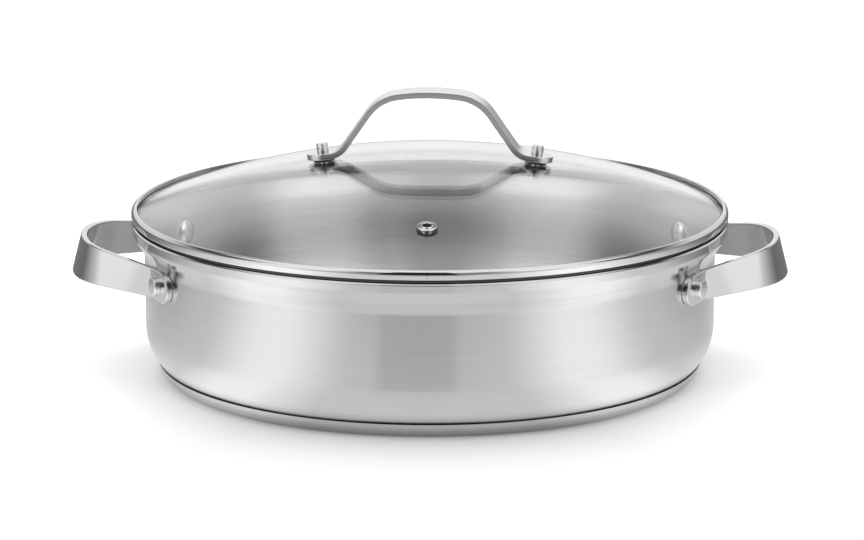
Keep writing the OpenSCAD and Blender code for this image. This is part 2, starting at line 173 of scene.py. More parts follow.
def crisp(piece: Piece, angle: float = SHARP_ANGLE) -> None:
    """Keeps flats flat and roundings smooth, and breaks the shading at sharp edges.

    Args:
        piece: the object to shade.
        angle: the angle in degrees above which an edge stays sharp.
    """
    piece.data.set_sharp_from_angle(angle=math.radians(angle))
    weigh = piece.modifiers.new("weigh", "WEIGHTED_NORMAL")
    weigh.mode = "FACE_AREA"
    weigh.keep_sharp = True
    settle(piece)


def bridge(low: Sequence[int], high: Sequence[int]) -> list[list[int]]:
    """Joins two rings of points with faces.

    Args:
        low, high: the rings' points, of which one ring may be a single point.
    Returns:
        The faces.
    """
    count = max(len(low), len(high))
    faces: list[list[int]] = []
    for k in range(count):
        n = (k + 1) % count
        if len(low) == 1:
            faces.append([low[0], high[n], high[k]])
        elif len(high) == 1:
            faces.append([low[k], low[n], high[0]])
        else:
            faces.append([low[k], low[n], high[n], high[k]])
    return faces


def lathe(name: str, outline: Sequence[Point], steps: int, closed: bool = False) -> Piece:
    """Turns an outline of radius and height round Z.

    Args:
        name: the piece's name.
        outline: its points, in order.
        steps: how many segments the turn has.
        closed: whether the last point joins the first.
    Returns:
        The turned piece.
    """
    verts: list[Vector] = []
    rings: list[range] = []
    for r, z in outline:
        count = 1 if r < AXIS_R else steps
        rings.append(range(len(verts), len(verts) + count))
        for k in range(count):
            a = 2 * math.pi * k / steps
            verts.append(Vector((r * math.cos(a), r * math.sin(a), z)))
    ahead = rings[1:] + rings[:1] if closed else rings[1:]
    faces = [face for low, high in zip(rings, ahead) for face in bridge(low, high)]
    return new_piece(name, verts, faces)


def turned(
    name: str,
    outline: Sequence[Point],
    steps: int,
    closed: bool = False,
    place: Matrix | None = None,
) -> Piece:
    """Turns an outline round Z, makes its edges crisp and sets it in its place.

    Args:
        name: the piece's name.
        outline: its points of radius and height, in order.
        steps: how many segments the turn has.
        closed: whether the last point joins the first.
        place: its frame in metres, where that isn't the pan's own.
    Returns:
        The piece.
    """
    piece = lathe(name, outline, steps, closed)
    crisp(piece)
    if place is not None:
        piece.matrix_world = place
    return piece


@dataclass(frozen=True)
class Section:
    """One cross-section of a bent strap.

    Attributes:
        middle: the strap's middle line here.
        across: the direction of its thickness.
        along_width: the direction of its width.
        half_width: half of its width here.
    """

    middle: Vector
    across: Vector
    along_width: Vector
    half_width: float


@dataclass(frozen=True)
class StrapStock:
    """The flat bar that a strap is bent from.

    Attributes:
        thickness: the bar's thickness.
        edge: the radius of its edges.
        edge_share: the most that an edge takes of half the width, at the pointed tips.
        edge_steps: how many chords an edge has.
        sharp_angle: the angle in degrees above which an edge of the mesh stays sharp.
    """

    thickness: float
    edge: float
    edge_share: float = 0.8
    edge_steps: int = 4
    sharp_angle: float = 40

    def bent(self, name: str, sections: Sequence[Section]) -> Piece:
        """Sweeps the bar through its cross-sections.

        Args:
            name: the piece's name.
            sections: the cross-sections, in order from one tip to the other.
        Returns:
            The strap.
        """
        verts: list[Vector] = []
        rings: list[list[int]] = []
        t = self.thickness / 2
        for s in sections:
            h = s.half_width
            e = min(self.edge, self.edge_share * h)
            ring: list[Vector] = []
            for sx, sy, start in ((1, 1, 0), (-1, 1, 90), (-1, -1, 180), (1, -1, 270)):
                for a, b in arc(sx * (t - e), sy * (h - e), e, start, start + 90, self.edge_steps):
                    ring.append(s.middle + s.across * a + s.along_width * b)
            rings.append(list(range(len(verts), len(verts) + len(ring))))
            verts.extend(ring)
        faces = [rings[0], list(reversed(rings[-1]))]
        for low, high in zip(rings, rings[1:]):
            faces += bridge(low, high)
        piece = new_piece(name, verts, faces)
        crisp(piece, self.sharp_angle)
        return piece


# ---- node work -----------------------------------------------------------------------


class NodeSheet:
    """Adds and joins the nodes of one tree."""

    def __init__(self, tree: bpy.types.NodeTree) -> None:
        """Takes a tree and empties it."""
        self.tree = tree
        tree.nodes.clear()

    def add(self, kind: str, feeds: Feeds | None = None, **settings: object) -> bpy.types.Node:
        """Adds a node.

        Args:
            kind: its type.
            feeds: for each input, a value to set or a socket to join to it.
            settings: properties of the node to set.
        Returns:
            The node.
        """
        node = self.tree.nodes.new(kind)
        for key, value in settings.items():
            setattr(node, key, value)
        for key, value in (feeds or {}).items():
            if isinstance(value, Socket):
                self.tree.links.new(value, node.inputs[key])
            else:
                node.inputs[key].default_value = value
        return node

    def math(self, operation: str, *terms: object) -> Socket:
        """Adds a Math node and gives its output."""
        return self.add("ShaderNodeMath", dict(enumerate(terms)), operation=operation).outputs[0]

    def times(self, first: object, *others: object) -> Socket:
        """Multiplies values with each other.

        Args:
            first: the first value.
            others: the other values.
        Returns:
            The socket of the product.
        """
        product = first
        for other in others:
            product = self.math("MULTIPLY", product, other)
        return product

    def mix(self, share: Socket, low: object, high: object) -> Socket:
        """Gives what lies a share of the way from one value to another."""
        return self.math("MULTIPLY_ADD", share, self.math("SUBTRACT", high, low), low)

    def span(
        self, value: object, low: float, high: float, to_low: float = 0.0, to_high: float = 1.0
    ) -> Socket:
        """Adds a clamped Map Range node and gives its output."""
        feeds = {"Value": value, "From Min": low, "From Max": high}
        return self.add("ShaderNodeMapRange", feeds | {"To Min": to_low, "To Max": to_high}).outputs[0]

    def band(self, value: Socket, rise: Point, fall: Point) -> Socket:
        """Gives 1 between where a value rises and where it falls, and 0 outside."""
        return self.times(self.span(value, *rise), self.span(value, *fall, 1.0, 0.0))

    def vector(self, operation: str, *terms: object) -> bpy.types.Node:
        """Adds a Vector Math node and gives it."""
        return self.add("ShaderNodeVectorMath", dict(enumerate(terms)), operation=operation)

    def length(self, vector: Socket) -> Socket:
        """Gives a vector's length."""
        return self.vector("LENGTH", vector).outputs["Value"]

    def split(self, vector: Socket) -> list[Socket]:
        """Gives a vector's x, y and z."""
        return list(self.add("ShaderNodeSeparateXYZ", {0: vector}).outputs)

    def join(self, x: object, y: object, z: object) -> Socket:
        """Makes a vector of x, y and z."""
        return self.add("ShaderNodeCombineXYZ", {0: x, 1: y, 2: z}).outputs[0]

    def place(self) -> Socket:
        """Gives the place on the object, in metres."""
        return self.add("ShaderNodeTexCoord").outputs["Object"]


def new_group(name: str, takes: dict[str, float]) -> tuple[NodeSheet, bpy.types.Node]:
    """Starts a shader node group that gives Shade, Roughness and Height.

    Args:
        name: the group's name.
        takes: the inputs and their usual values.
    Returns:
        The group's sheet and its input node.
    """
    tree = bpy.data.node_groups.new(name, "ShaderNodeTree")
    for label, usual in takes.items():
        socket = tree.interface.new_socket(label, in_out="INPUT", socket_type="NodeSocketFloat")
        socket.default_value = usual
    for label in ("Shade", "Roughness", "Height"):
        tree.interface.new_socket(label, in_out="OUTPUT", socket_type="NodeSocketFloat")
    sheet = NodeSheet(tree)
    return sheet, sheet.add("NodeGroupInput")


class Effects:
    """The shared effects, each a node group that is built once.

    A group's Shade is near 1, its Roughness is ready for the shader, and its Height is for a
    bump.

    Attributes:
        lines: for each layer of lines, how fast they change on the way round, and their width.
        line_detail: the detail of their noise.
        marks: for each layer of marks, how much finer it is than the scale, and its detail.
    """

    lines: tuple[Point, ...] = ((5.0, 1.0), (2.0, 5.0))
    line_detail: float = 3.0
    marks: tuple[Point, ...] = ((1.0, 4.0), (14.0, 2.0))

    def __init__(self) -> None:
        """Builds the groups."""
        self.turned_grain = self._turned_grain()
        self.polish = self._polish()

    @staticmethod
    def _end(
        sheet: NodeSheet, given: bpy.types.Node, mark: Socket, height: Socket
    ) -> bpy.types.NodeTree:
        """Ends a group.

        Args:
            sheet: the group's sheet.
            given: its input node.
            mark: the noise that the shade and the roughness follow.
            height: the noise for the bump.
        Returns:
            The group.
        """
        centred = sheet.math("SUBTRACT", mark, 0.5)
        takes = given.outputs
        shade = sheet.math("MULTIPLY_ADD", centred, takes["Contrast"], 1.0)
        rough = sheet.math("MULTIPLY_ADD", centred, takes["Spread"], takes["Roughness"])
        sheet.add("NodeGroupOutput", {"Shade": shade, "Roughness": rough, "Height": height})
        return sheet.tree

    def _turned_grain(self) -> bpy.types.NodeTree:
        """Builds fine lines that run round the pan's axis.

        Returns:
            The group.
        """
        takes = {"Line width": 0.0004, "Contrast": 0.1, "Roughness": 0.3, "Spread": 0.05}
        sheet, given = new_group("turned_grain", takes)
        x, y, z = sheet.split(sheet.place())
        flat = sheet.join(x, y, 0.0)
        reach = sheet.length(flat)
        spoke = sheet.split(sheet.vector("NORMALIZE", flat).outputs[0])
        layers = []
        for pace, wide in self.lines:
            line = sheet.times(given.outputs["Line width"], wide)
            across, along = (sheet.times(part, pace) for part in spoke[:2])
            where = sheet.join(across, along, sheet.math("DIVIDE", z, line))
            feeds = {"Vector": where, "W": sheet.math("DIVIDE", reach, line), "Scale": 1.0}
            feeds["Detail"] = self.line_detail
            layers.append(sheet.add("ShaderNodeTexNoise", feeds, noise_dimensions="4D").outputs[0])
        mark = sheet.math("MULTIPLY_ADD", layers[1], 0.5, sheet.times(layers[0], 0.5))
        return self._end(sheet, given, mark, mark)

    def _polish(self) -> bpy.types.NodeTree:
        """Builds the faint unevenness of a buffed surface.

        Returns:
            The group.
        """
        takes = {"Roughness": 0.08, "Spread": 0.04, "Contrast": 0.06, "Scale": 120.0}
        sheet, given = new_group("polish", takes)
        place = sheet.place()
        noises = []
        for finer, detail in self.marks:
            scale = sheet.times(given.outputs["Scale"], finer)
            feeds = {"Vector": place, "Scale": scale, "Detail": detail}
            noises.append(sheet.add("ShaderNodeTexNoise", feeds).outputs[0])
        return self._end(sheet, given, *noises)


def shaded(sheet: NodeSheet, colour: Colour, shade: Socket) -> Socket:
    """Multiplies a colour by a shade that changes over the surface.

    Args:
        sheet: the material's sheet.
        colour: the colour.
        shade: the socket that gives the shade.
    Returns:
        The socket of the shaded colour.
    """
    return sheet.vector("MULTIPLY", colour, sheet.join(shade, shade, shade)).outputs[0]


def marked(
    sheet: NodeSheet, effect: bpy.types.NodeTree, marks: Feeds, colour: Colour, depth: float
) -> Feeds:
    """Lays an effect's marks over a colour.

    Args:
        sheet: the material's sheet.
        effect: the effect's group.
        marks: the values of the group's inputs.
        colour: the colour below the marks.
        depth: the depth of the marks in metres.
    Returns:
        The shader's Base Color, Roughness and Normal.
    """
    given = sheet.add("ShaderNodeGroup", marks, node_tree=effect).outputs
    bump = sheet.add("ShaderNodeBump", {"Height": given["Height"], "Distance": depth})
    colour_socket = shaded(sheet, colour, given["Shade"])
    return {"Base Color": colour_socket, "Roughness": given["Roughness"], "Normal": bump.outputs[0]}


def new_material(name: str) -> tuple[bpy.types.Material, NodeSheet]:
    """Makes an empty node material.

    Args:
        name: the material's name.
    Returns:
        The material and its sheet.
    """
    material = bpy.data.materials.new(name)
    material.use_nodes = True
    return material, NodeSheet(material.node_tree)


@dataclass(frozen=True)
class Finish:
    """What every finish has.

    Attributes:
        name: the material's name.
    """

    name: str

    def feeds(self, sheet: NodeSheet, effects: Effects) -> Feeds:
        """Lays out the finish.

        Args:
            sheet: the material's sheet.
            effects: the shared effects.
        Returns:
            For each input of the Principled shader, its value or its socket.
        """
        raise NotImplementedError

    def material(self, effects: Effects) -> bpy.types.Material:
        """Builds the material.

        Args:
            effects: the shared effects.
        Returns:
            The material.
        """
        material, sheet = new_material(self.name)
        shader = sheet.add("ShaderNodeBsdfPrincipled", self.feeds(sheet, effects))
        sheet.add("ShaderNodeOutputMaterial", {"Surface": shader.outputs[0]})
        return material


@dataclass(frozen=True)
class SatinSteel(Finish):
    """Steel brushed round the pan's axis, and smoother towards the lip.

    Attributes:
        colour: the steel's colour.
        roughness: how matt it is.
        stretch: how far a highlight spreads across the lines.
        quarter_turn: turns that spread from along the lines to across them.
        line: the width of the finest lines in metres.
        contrast: how much the lines differ in shade.
        bump: the depth of the lines in metres.
        polished_above: the height in millimetres above which the steel is smoother.
        polished: how matt it is there.
        blend: half the height over which the two meet, in millimetres.
    """

    colour: Colour = (0.585, 0.577, 0.583)
    roughness: float = 0.215
    stretch: float = 0.92
    quarter_turn: float = 0.25
    line: float = 0.0004
    contrast: float = 0.16
    bump: float = 0.000002
    polished_above: float = 66
    polished: float = 0.1
    blend: float = 3

    def feeds(self, sheet: NodeSheet, effects: Effects) -> Feeds:
        """Lays out the finish.

        Args:
            sheet: the material's sheet.
            effects: the shared effects.
        Returns:
            The shader's inputs.
        """
        height = sheet.split(sheet.place())[2]
        low, high = (self.polished_above - self.blend) * MM, (self.polished_above + self.blend) * MM
        roughness = sheet.span(height, low, high, self.roughness, self.polished)
        marks = {"Line width": self.line, "Contrast": self.contrast, "Roughness": roughness}
        tangent = sheet.add("ShaderNodeTangent", direction_type="RADIAL", axis="Z")
        return marked(sheet, effects.turned_grain, marks, self.colour, self.bump) | {
            "Metallic": 1.0,
            "Anisotropic": self.stretch,
            "Anisotropic Rotation": self.quarter_turn,
            "Tangent": tangent.outputs[0],
        }


@dataclass(frozen=True)
class EvenFinish(Finish):
    """A finish that is alike in every direction.

    Attributes:
        colour: its colour.
        roughness: how matt it is.
        spread: how much the roughness varies.
        contrast: how much the shade varies.
        scale: how many marks it has to the metre.
        bump: the depth of the marks in metres.
        metallic: 1 for metal, and otherwise 0.
    """

    colour: Colour
    roughness: float
    spread: float
    contrast: float
    scale: float
    bump: float
    metallic: float

    def feeds(self, sheet: NodeSheet, effects: Effects) -> Feeds:
        """Lays out the finish.

        Args:
            sheet: the material's sheet.
            effects: the shared effects.
        Returns:
            The shader's inputs.
        """
        marks = {"Roughness": self.roughness, "Spread": self.spread}
        marks |= {"Contrast": self.contrast, "Scale": self.scale}
        laid = marked(sheet, effects.polish, marks, self.colour, self.bump)
        return laid | {"Metallic": self.metallic}


@dataclass(frozen=True)
class BuffedSteel(EvenFinish):
    """Steel that is polished or finely ground."""

    colour: Colour = (0.76, 0.755, 0.76)
    roughness: float = 0.08
    spread: float = 0.05
    contrast: float = 0.05
    scale: float = 120.0
    bump: float = 0.000001
    metallic: float = 1.0


@dataclass(frozen=True)
class MattRubber(EvenFinish):
    """Matt silicone rubber."""

    colour: Colour = (0.05, 0.05, 0.052)
    roughness: float = 0.55
    spread: float = 0.2
    contrast: float = 0.3
    scale: float = 400.0
    bump: float = 0.00001
    metallic: float = 0.0


@dataclass(frozen=True)
class ClearGlass(Finish):
    """Clear tempered glass.

    Attributes:
        colour: its faint tint.
        ior: its refractive index.
        contrast: how much the tint varies.
        scale: how many variations it has to the metre.
    """

    colour: Colour = (0.992, 0.992, 0.992)
    ior: float = 1.5
    contrast: float = 0.01
    scale: float = 30.0

    def feeds(self, sheet: NodeSheet, effects: Effects) -> Feeds:
        """Lays out the finish.

        Args:
            sheet: the material's sheet.
            effects: the shared effects.
        Returns:
            The shader's inputs.
        """
        marks = {"Roughness": 0.0, "Spread": 0.0, "Contrast": self.contrast, "Scale": self.scale}
        given = sheet.add("ShaderNodeGroup", marks, node_tree=effects.polish).outputs
        return {
            "Base Color": shaded(sheet, self.colour, given["Shade"]),
            "Roughness": 0.0,
            "IOR": self.ior,
            "Transmission Weight": 1.0,
        }


@dataclass(frozen=True)
class BandSteel(Finish):
    """The lid band's bright steel, with its weld mark at the front and painted shade in the slot under
    its bead.

    Attributes:
        colour: the steel's colour.
        roughness: how matt it is.
        line: the width of the finest lines in metres.
        contrast: how much the lines differ in shade.
        spread: how much the roughness varies.
        bump: the depth of the lines in metres.
        weld_x: where the weld crosses the front, in millimetres.
        weld_w: how far its mark reaches to each side, in millimetres.
        weld_core: the share of that where the mark is full.
        weld_shade: how dark the mark is.
        weld_rise: how far it stands out, as a multiple of the lines.
        crevice_r, crevice_z: the radius and the height within which the slot under the bead
            gets painted shade, nearly black and not metallic, in millimetres.
        crevice_fade: over what radius and height the painted shade fades, in millimetres.
        crevice_shade: how dark the painted shade in the slot is.
    """

    colour: Colour = (0.63, 0.622, 0.628)
    roughness: float = 0.06
    line: float = 0.0002
    contrast: float = 0.06
    spread: float = 0.05
    bump: float = 0.000002
    weld_x: float = 1.6
    weld_w: float = 0.7
    weld_core: float = 0.25
    weld_shade: float = 0.87
    weld_rise: float = 4.0
    crevice_r: float = 145.7
    crevice_z: float = 78.12
    crevice_fade: Point = (0.2, 0.15)
    crevice_shade: float = 0.04

    def feeds(self, sheet: NodeSheet, effects: Effects) -> Feeds:
        """Lays out the finish.

        Args:
            sheet: the material's sheet.
            effects: the shared effects.
        Returns:
            The shader's inputs.
        """
        marks = {"Line width": self.line, "Contrast": self.contrast}
        marks |= {"Roughness": self.roughness, "Spread": self.spread}
        given = sheet.add("ShaderNodeGroup", marks, node_tree=effects.turned_grain).outputs
        x, y, z = sheet.split(sheet.place())
        off = sheet.math("ABSOLUTE", sheet.math("SUBTRACT", x, self.weld_x * MM))
        mark = sheet.span(off, self.weld_core * self.weld_w * MM, self.weld_w * MM, 1.0, 0.0)
        mark = sheet.times(mark, sheet.math("LESS_THAN", y, 0.0))
        reach = sheet.length(sheet.join(x, y, 0.0))
        # Painted shade: the slot under the bead is made nearly black and not metallic.
        fade_r, fade_z = self.crevice_fade
        deep = sheet.span(reach, (self.crevice_r - fade_r) * MM, self.crevice_r * MM, 1.0, 0.0)
        low = sheet.span(z, self.crevice_z * MM, (self.crevice_z + fade_z) * MM, 1.0, 0.0)
        crevice = sheet.times(deep, low)
        shade = sheet.times(
            given["Shade"],
            sheet.span(mark, 0.0, 1.0, 1.0, self.weld_shade),
            sheet.span(crevice, 0.0, 1.0, 1.0, self.crevice_shade),
        )
        height = sheet.math("MULTIPLY_ADD", mark, self.weld_rise, given["Height"])
        bump = sheet.add("ShaderNodeBump", {"Height": height, "Distance": self.bump})
        return {
            "Base Color": shaded(sheet, self.colour, shade),
            "Metallic": sheet.span(crevice, 0.0, 1.0, 1.0, 0.0),
            "Roughness": given["Roughness"],
            "Normal": bump.outputs[0],
        }


class Workshop:
    """Gives each piece its finish, its slot and its body."""

    def __init__(self) -> None:
        """Builds every finish."""
        effects = Effects()
        # The inside is the same steel as the outside, with a lighter colour: painted light for the
        # pan's inside.
        inner = SatinSteel(
            "inner_steel", colour=(0.67, 0.662, 0.668), roughness=0.4, stretch=1.0, contrast=0.5,
            polished_above=61, polished=0.4,
        )
        finishes = (
            SatinSteel("body_steel", polished=0.09),
            inner,
            BuffedSteel("core_aluminium", colour=(0.78, 0.78, 0.80), roughness=0.4, spread=0.2),
            # The cap's steel is darker than the wall's: partly a darker steel, partly painted shade
            # where the cap meets the table.
            SatinSteel("base_steel", colour=(0.42, 0.412, 0.418), roughness=0.26, stretch=0.7),
            BuffedSteel("handle_steel", colour=(0.67, 0.662, 0.668), roughness=0.1),
            BuffedSteel("rivet_steel", colour=(0.72, 0.712, 0.718), roughness=0.28),
            ClearGlass("lid_glass"),
            BandSteel("rim_steel"),
            BuffedSteel("lid_handle_steel", colour=(0.71, 0.705, 0.71), roughness=0.2, scale=300.0),
            BuffedSteel("fastener_steel", roughness=0.09),
            MattRubber("gasket_rubber"),
            BuffedSteel("vent_steel", roughness=0.1),
        )
        self.materials = {f.name: f.material(effects) for f in finishes}

    def dress(self, piece: Piece, slot: str) -> None:
        """Gives a piece one finish.

        Args:
            piece: the object.
            slot: the name of the finish and of its slot.
        """
        if piece.material_slots:
            for place in piece.material_slots:
                place.material = self.materials[slot]
        else:
            piece.data.materials.append(self.materials[slot])

    def fit(self, piece: Piece, slot: str, body: str, *nodes: str) -> None:
        """Dresses a new piece and puts it in the place of its CAD nodes.

        Args:
            piece: the new object.
            slot: its finish.
            body: the body it rides on.
            nodes: the CAD nodes it stands for.
        """
        self.dress(piece, slot)
        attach(piece, body)
        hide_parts(*nodes)
        log.info("%s: %d faces, %s, rides on %s", piece.name, len(piece.data.polygons), slot, body)

    def keep(self, node: str, slot: str) -> None:
        """Dresses a CAD node that keeps its own mesh.

        Args:
            node: the node's name.
            slot: its finish.
        """
        self.dress(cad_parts[node], slot)
        log.info("%s: kept from the CAD, %s", node, slot)


# ---- the pan -------------------------------------------------------------------------


@dataclass
class PanShell:
    """The pan's sheet steel: bottom, wall, flare and upright lip."""

    wall_r: float = 140.8
    height: float = 76.6
    sheet: float = 0.8
    base_h: float = 5.7
    floor_rings: tuple[float, ...] = (0, 30, 60, 90, 110)
    wall_rings: int = 6
    corner_r: float = 28
    heel_r: float = 4
    heel_turn: float = 41
    lip_step: float = 6.3
    lip_h: float = 4
    flare_angle: float = 54
    flare_low_r: float = 8
    flare_high_r: float = 4
    lip_round: float = 0.6
    lip_bevel: float = 45.5
    lip_land: float = 0.1
    lip_break: float = 0.05
    facing_in: float = 0.2
    lip_clear: float = 1

    @property
    def lip_r(self) -> float:
        """Gives the lip's outer radius."""
        return self.wall_r + self.lip_step

    def side(self, depth: float) -> list[Point]:
        """Gives the pan's outline, a depth inside its outer surface.

        Args:
            depth: the depth.
        Returns:
            The points from the bottom's middle to below the lip's edge.
        """
        heel_z = self.base_h + self.heel_r
        gather = self.corner_r - self.heel_r
        corner_x = self.wall_r - self.corner_r
        heel_x = corner_x + gather * math.cos(math.radians(self.heel_turn))
        corner_z = heel_z + gather * math.sin(math.radians(self.heel_turn))
        lip_z = self.height - self.lip_h
        turn = 90 - self.flare_angle
        rad = math.radians(turn)
        top_x = self.lip_r - self.flare_high_r * (1 - math.cos(rad))
        top_z = lip_z - self.flare_high_r * math.sin(rad)
        foot_x = self.wall_r + self.flare_low_r * (1 - math.cos(rad))
        slope = math.tan(math.radians(self.flare_angle))
        flare_z = top_z - (top_x - foot_x) * slope - self.flare_low_r * math.sin(rad)
        floor = [(r, self.base_h + depth) for r in self.floor_rings]
        steps = self.wall_rings
        levels = [corner_z + (flare_z - corner_z) * k / steps for k in range(1, steps)]
        wall = [(self.wall_r - depth, level) for level in levels]
        low, high = self.flare_low_r, self.flare_high_r
        return (
            floor
            + arc(heel_x, heel_z, self.heel_r - depth, -90, -self.heel_turn, 10)
            + arc(corner_x, corner_z, self.corner_r - depth, -self.heel_turn, 0, 28)[1:]
            + wall
            + arc(self.wall_r + low, flare_z, low + depth, 180, 180 - turn, 8)
            + arc(self.lip_r - high, lip_z, high - depth, -turn, 0, 12)
        )

    def lip_edge(self) -> list[Point]:
        """Gives the lip's top edge: rounded outside, bevelled, with a thin land inside.

        Returns:
            The points from the outer side to the inner side.
        """
        r, z = self.lip_round, self.height
        inner_r = self.lip_r - self.sheet
        bevel = math.radians(self.lip_bevel)
        run = self.lip_r - r + r * math.cos(bevel) - inner_r - self.lip_land
        low = z - run / math.tan(bevel) - r * math.sin(bevel)
        land = [(inner_r + self.lip_land, z), (inner_r, z - self.lip_break)]
        return arc(self.lip_r - r, low, r, 0, self.lip_bevel, 6) + land

    def build(self, shop: Workshop) -> None:
        """Builds and dresses the shell, with a duller finish on its inside, whose lighter colour is
        painted light.

        Args:
            shop: where the piece gets its finish.
        """
        outline = self.side(0) + self.lip_edge() + list(reversed(self.side(self.sheet)))
        piece = turned("pan_shell", outline, WIDE_STEPS)
        shop.fit(piece, "body_steel", "pan", "pan_body")
        piece.data.materials.append(shop.materials["inner_steel"])
        top = self.height * MM - self.lip_clear * MM
        for face in piece.data.polygons:
            out = Vector((face.center.x, face.center.y, 0)).normalized()
            floor = face.normal.z > self.facing_in and face.center.z < top
            if face.normal.dot(out) < -self.facing_in or floor:
                face.material_index = 1


@dataclass
class CapsuleBase:
    """The steel cap under the pan and the aluminium disc inside it."""

    flat_r: float = 127.633
    rings: tuple[float, ...] = (0, 40, 80, 110)
    edge_r: float = 7
    cap_t: float = 0.6
    top_z: float = 6.6

    def side(self, depth: float, steps: int) -> list[Point]:
        """Gives the cap's outline, a depth inside its outer surface.

        Args:
            depth: the depth.
            steps: how many chords its edge has.
        Returns:
            The points from the middle to the top edge.
        """
        end = math.degrees(math.asin((self.top_z - self.edge_r) / (self.edge_r - depth)))
        edge = arc(self.flat_r, self.edge_r, self.edge_r - depth, -90, end, steps)
        return [(r, depth) for r in self.rings] + edge

    def build(self, shop: Workshop) -> None:
        """Builds and dresses the cap, and dresses the disc.

        Args:
            shop: where the pieces get their finish.
        """
        outline = self.side(0, 20) + list(reversed(self.side(self.cap_t, 16)))
        shop.fit(turned("capsule_cap", outline, WIDE_STEPS), "base_steel", "pan", "base_cap")
        shop.keep("base_core", "core_aluminium")


@dataclass
class SideHandle:
    """One strap loop with its two rivets.

    Drawn for the right-hand end, and mirrored for the left. A station of its plan is an x, a
    y, the direction it faces in degrees and its share of the strap's width.
    """

    side: Side
    wall_r: float = 140.8
    sheet: float = 0.8
    reach: float = 34
    thick: float = 3
    end_w: float = 19.8
    lug_w: float = 14.7
    crown_r: float = 64
    crown_half: float = 17
    loop_r: float = 32.4
    arm_angle: float = 55.4
    bend_r: float = 3
    rivet_setback: float = 8.2
    lug_tail: float = 12.3
    rivet_z: float = 55.0
    rise: float = 6.4
    lean: float = 14.5
    gap: float = 0.1
    edge: float = 0.6
    arm_steps: int = 16
    nose_steps: int = 16
    nose_turn: float = 5.35
    head_d: float = 9.1
    head_h: float = 3.2
    head_round: float = 0.9
    head_drop: float = 0.17
    head_slope: float = 6
    inner_d: float = 12.8
    inner_h: float = 3.4
    shank_d: float = 5
    seat: float = 0.03

    def __post_init__(self) -> None:
        """Works out the loop's plan."""
        self.end_x = self.wall_r + self.reach
        self.crown_x = self.end_x - self.crown_r
        half = math.radians(self.crown_half)
        self.loop_x = self.crown_x + (self.crown_r - self.loop_r) * math.cos(half)
        self.loop_y = (self.crown_r - self.loop_r) * math.sin(half)
        self.lug_r = self.wall_r + self.gap + self.thick
        self.mid_r = self.lug_r - self.thick / 2
        arm = math.radians(self.arm_angle)
        line = self.loop_x * math.cos(arm) + self.loop_y * math.sin(arm) + self.loop_r
        reach = (line + self.bend_r) / (self.lug_r + self.bend_r)
        self.bend_angle = self.arm_angle - math.degrees(math.acos(reach))
        self.rivet_angle = self.bend_angle + math.degrees(self.rivet_setback / self.lug_r)
        self.lug_end = self.rivet_angle + math.degrees(self.lug_tail / self.lug_r)
        bend = math.radians(self.bend_angle)
        self.bend_x = (self.lug_r + self.bend_r) * math.cos(bend)
        self.bend_y = (self.lug_r + self.bend_r) * math.sin(bend)
        self.foot_x = self.bend_x - self.bend_r * math.cos(arm)
        self.head_x = self.loop_x + self.loop_r * math.cos(arm)

    def half_plan(self) -> list[Station]:
        """Lays out half of the loop.

        Returns:
            The stations from the crown to the lug's nose.
        """
        t = self.thick / 2
        crown = self._faced(self.crown_x, 0, self.crown_r - t, 0, self.crown_half, 12)
        loop = self._faced(
            self.loop_x, self.loop_y, self.loop_r - t, self.crown_half, self.arm_angle, 26
        )
        bend = self._faced(
            self.bend_x, self.bend_y, -(self.bend_r + t), self.arm_angle, self.bend_angle, 14
        )
        tip = math.degrees(self.lug_w / 2 / self.mid_r)
        nose = self.lug_end - tip
        lug = self._faced(0, 0, self.mid_r, self.bend_angle, nose, 10)
        (x, y, face, _), (foot_x, foot_y, _, _) = loop[-1], bend[0]
        shares = [i / self.arm_steps for i in range(1, self.arm_steps)]
        arm = [(x + (foot_x - x) * s, y + (foot_y - y) * s, face, 1.0) for s in shares]
        plan = crown + loop[1:] + arm + bend + lug[1:]
        for i in range(1, self.nose_steps + 1):
            phi = math.radians(i * self.nose_turn)
            a = nose + tip * math.sin(phi)
            rad = math.radians(a)
            plan.append((self.mid_r * math.cos(rad), self.mid_r * math.sin(rad), a, math.cos(phi)))
        return plan

    @staticmethod
    def _faced(x: float, y: float, r: float, start: float, end: float, steps: int) -> list[Station]:
        """Gives an arc as stations of the full width."""
        turns = [start + (end - start) * i / steps for i in range(steps + 1)]
        return [(*point, a, 1.0) for point, a in zip(arc(x, y, r, start, end, steps), turns)]

    @staticmethod
    def _way(x: float, low: float, high: float) -> float:
        """Gives how far x lies from low to high, between 0 and 1."""
        return max(0.0, min(1.0, (x - low) / (high - low)))

    def section(self, station: Station) -> Section:
        """Turns a station of the plan into a cross-section of the strap.

        Args:
            station: the station.
        Returns:
            The cross-section.
        """
        x, y, face, share = station
        width = self.lug_w + (self.end_w - self.lug_w) * self._way(x, self.foot_x, self.end_x)
        z = self.rivet_z + max(0.0, x - self.foot_x) * math.tan(math.radians(self.rise))
        rad = math.radians(face)
        leant = math.asin(math.sin(math.radians(self.lean)) * math.cos(rad))
        lean = leant * self._way(x, self.foot_x, self.head_x)
        across = Vector(
            (math.cos(lean) * math.cos(rad), math.cos(lean) * math.sin(rad), math.sin(lean))
        )
        up = Vector(
            (-math.sin(lean) * math.cos(rad), -math.sin(lean) * math.sin(rad), math.cos(lean))
        )
        if self.side is Side.LEFT:
            x = -x
            across.x, up.x = -across.x, -up.x
        return Section(Vector((x, y, z)), across, up, width / 2 * share)

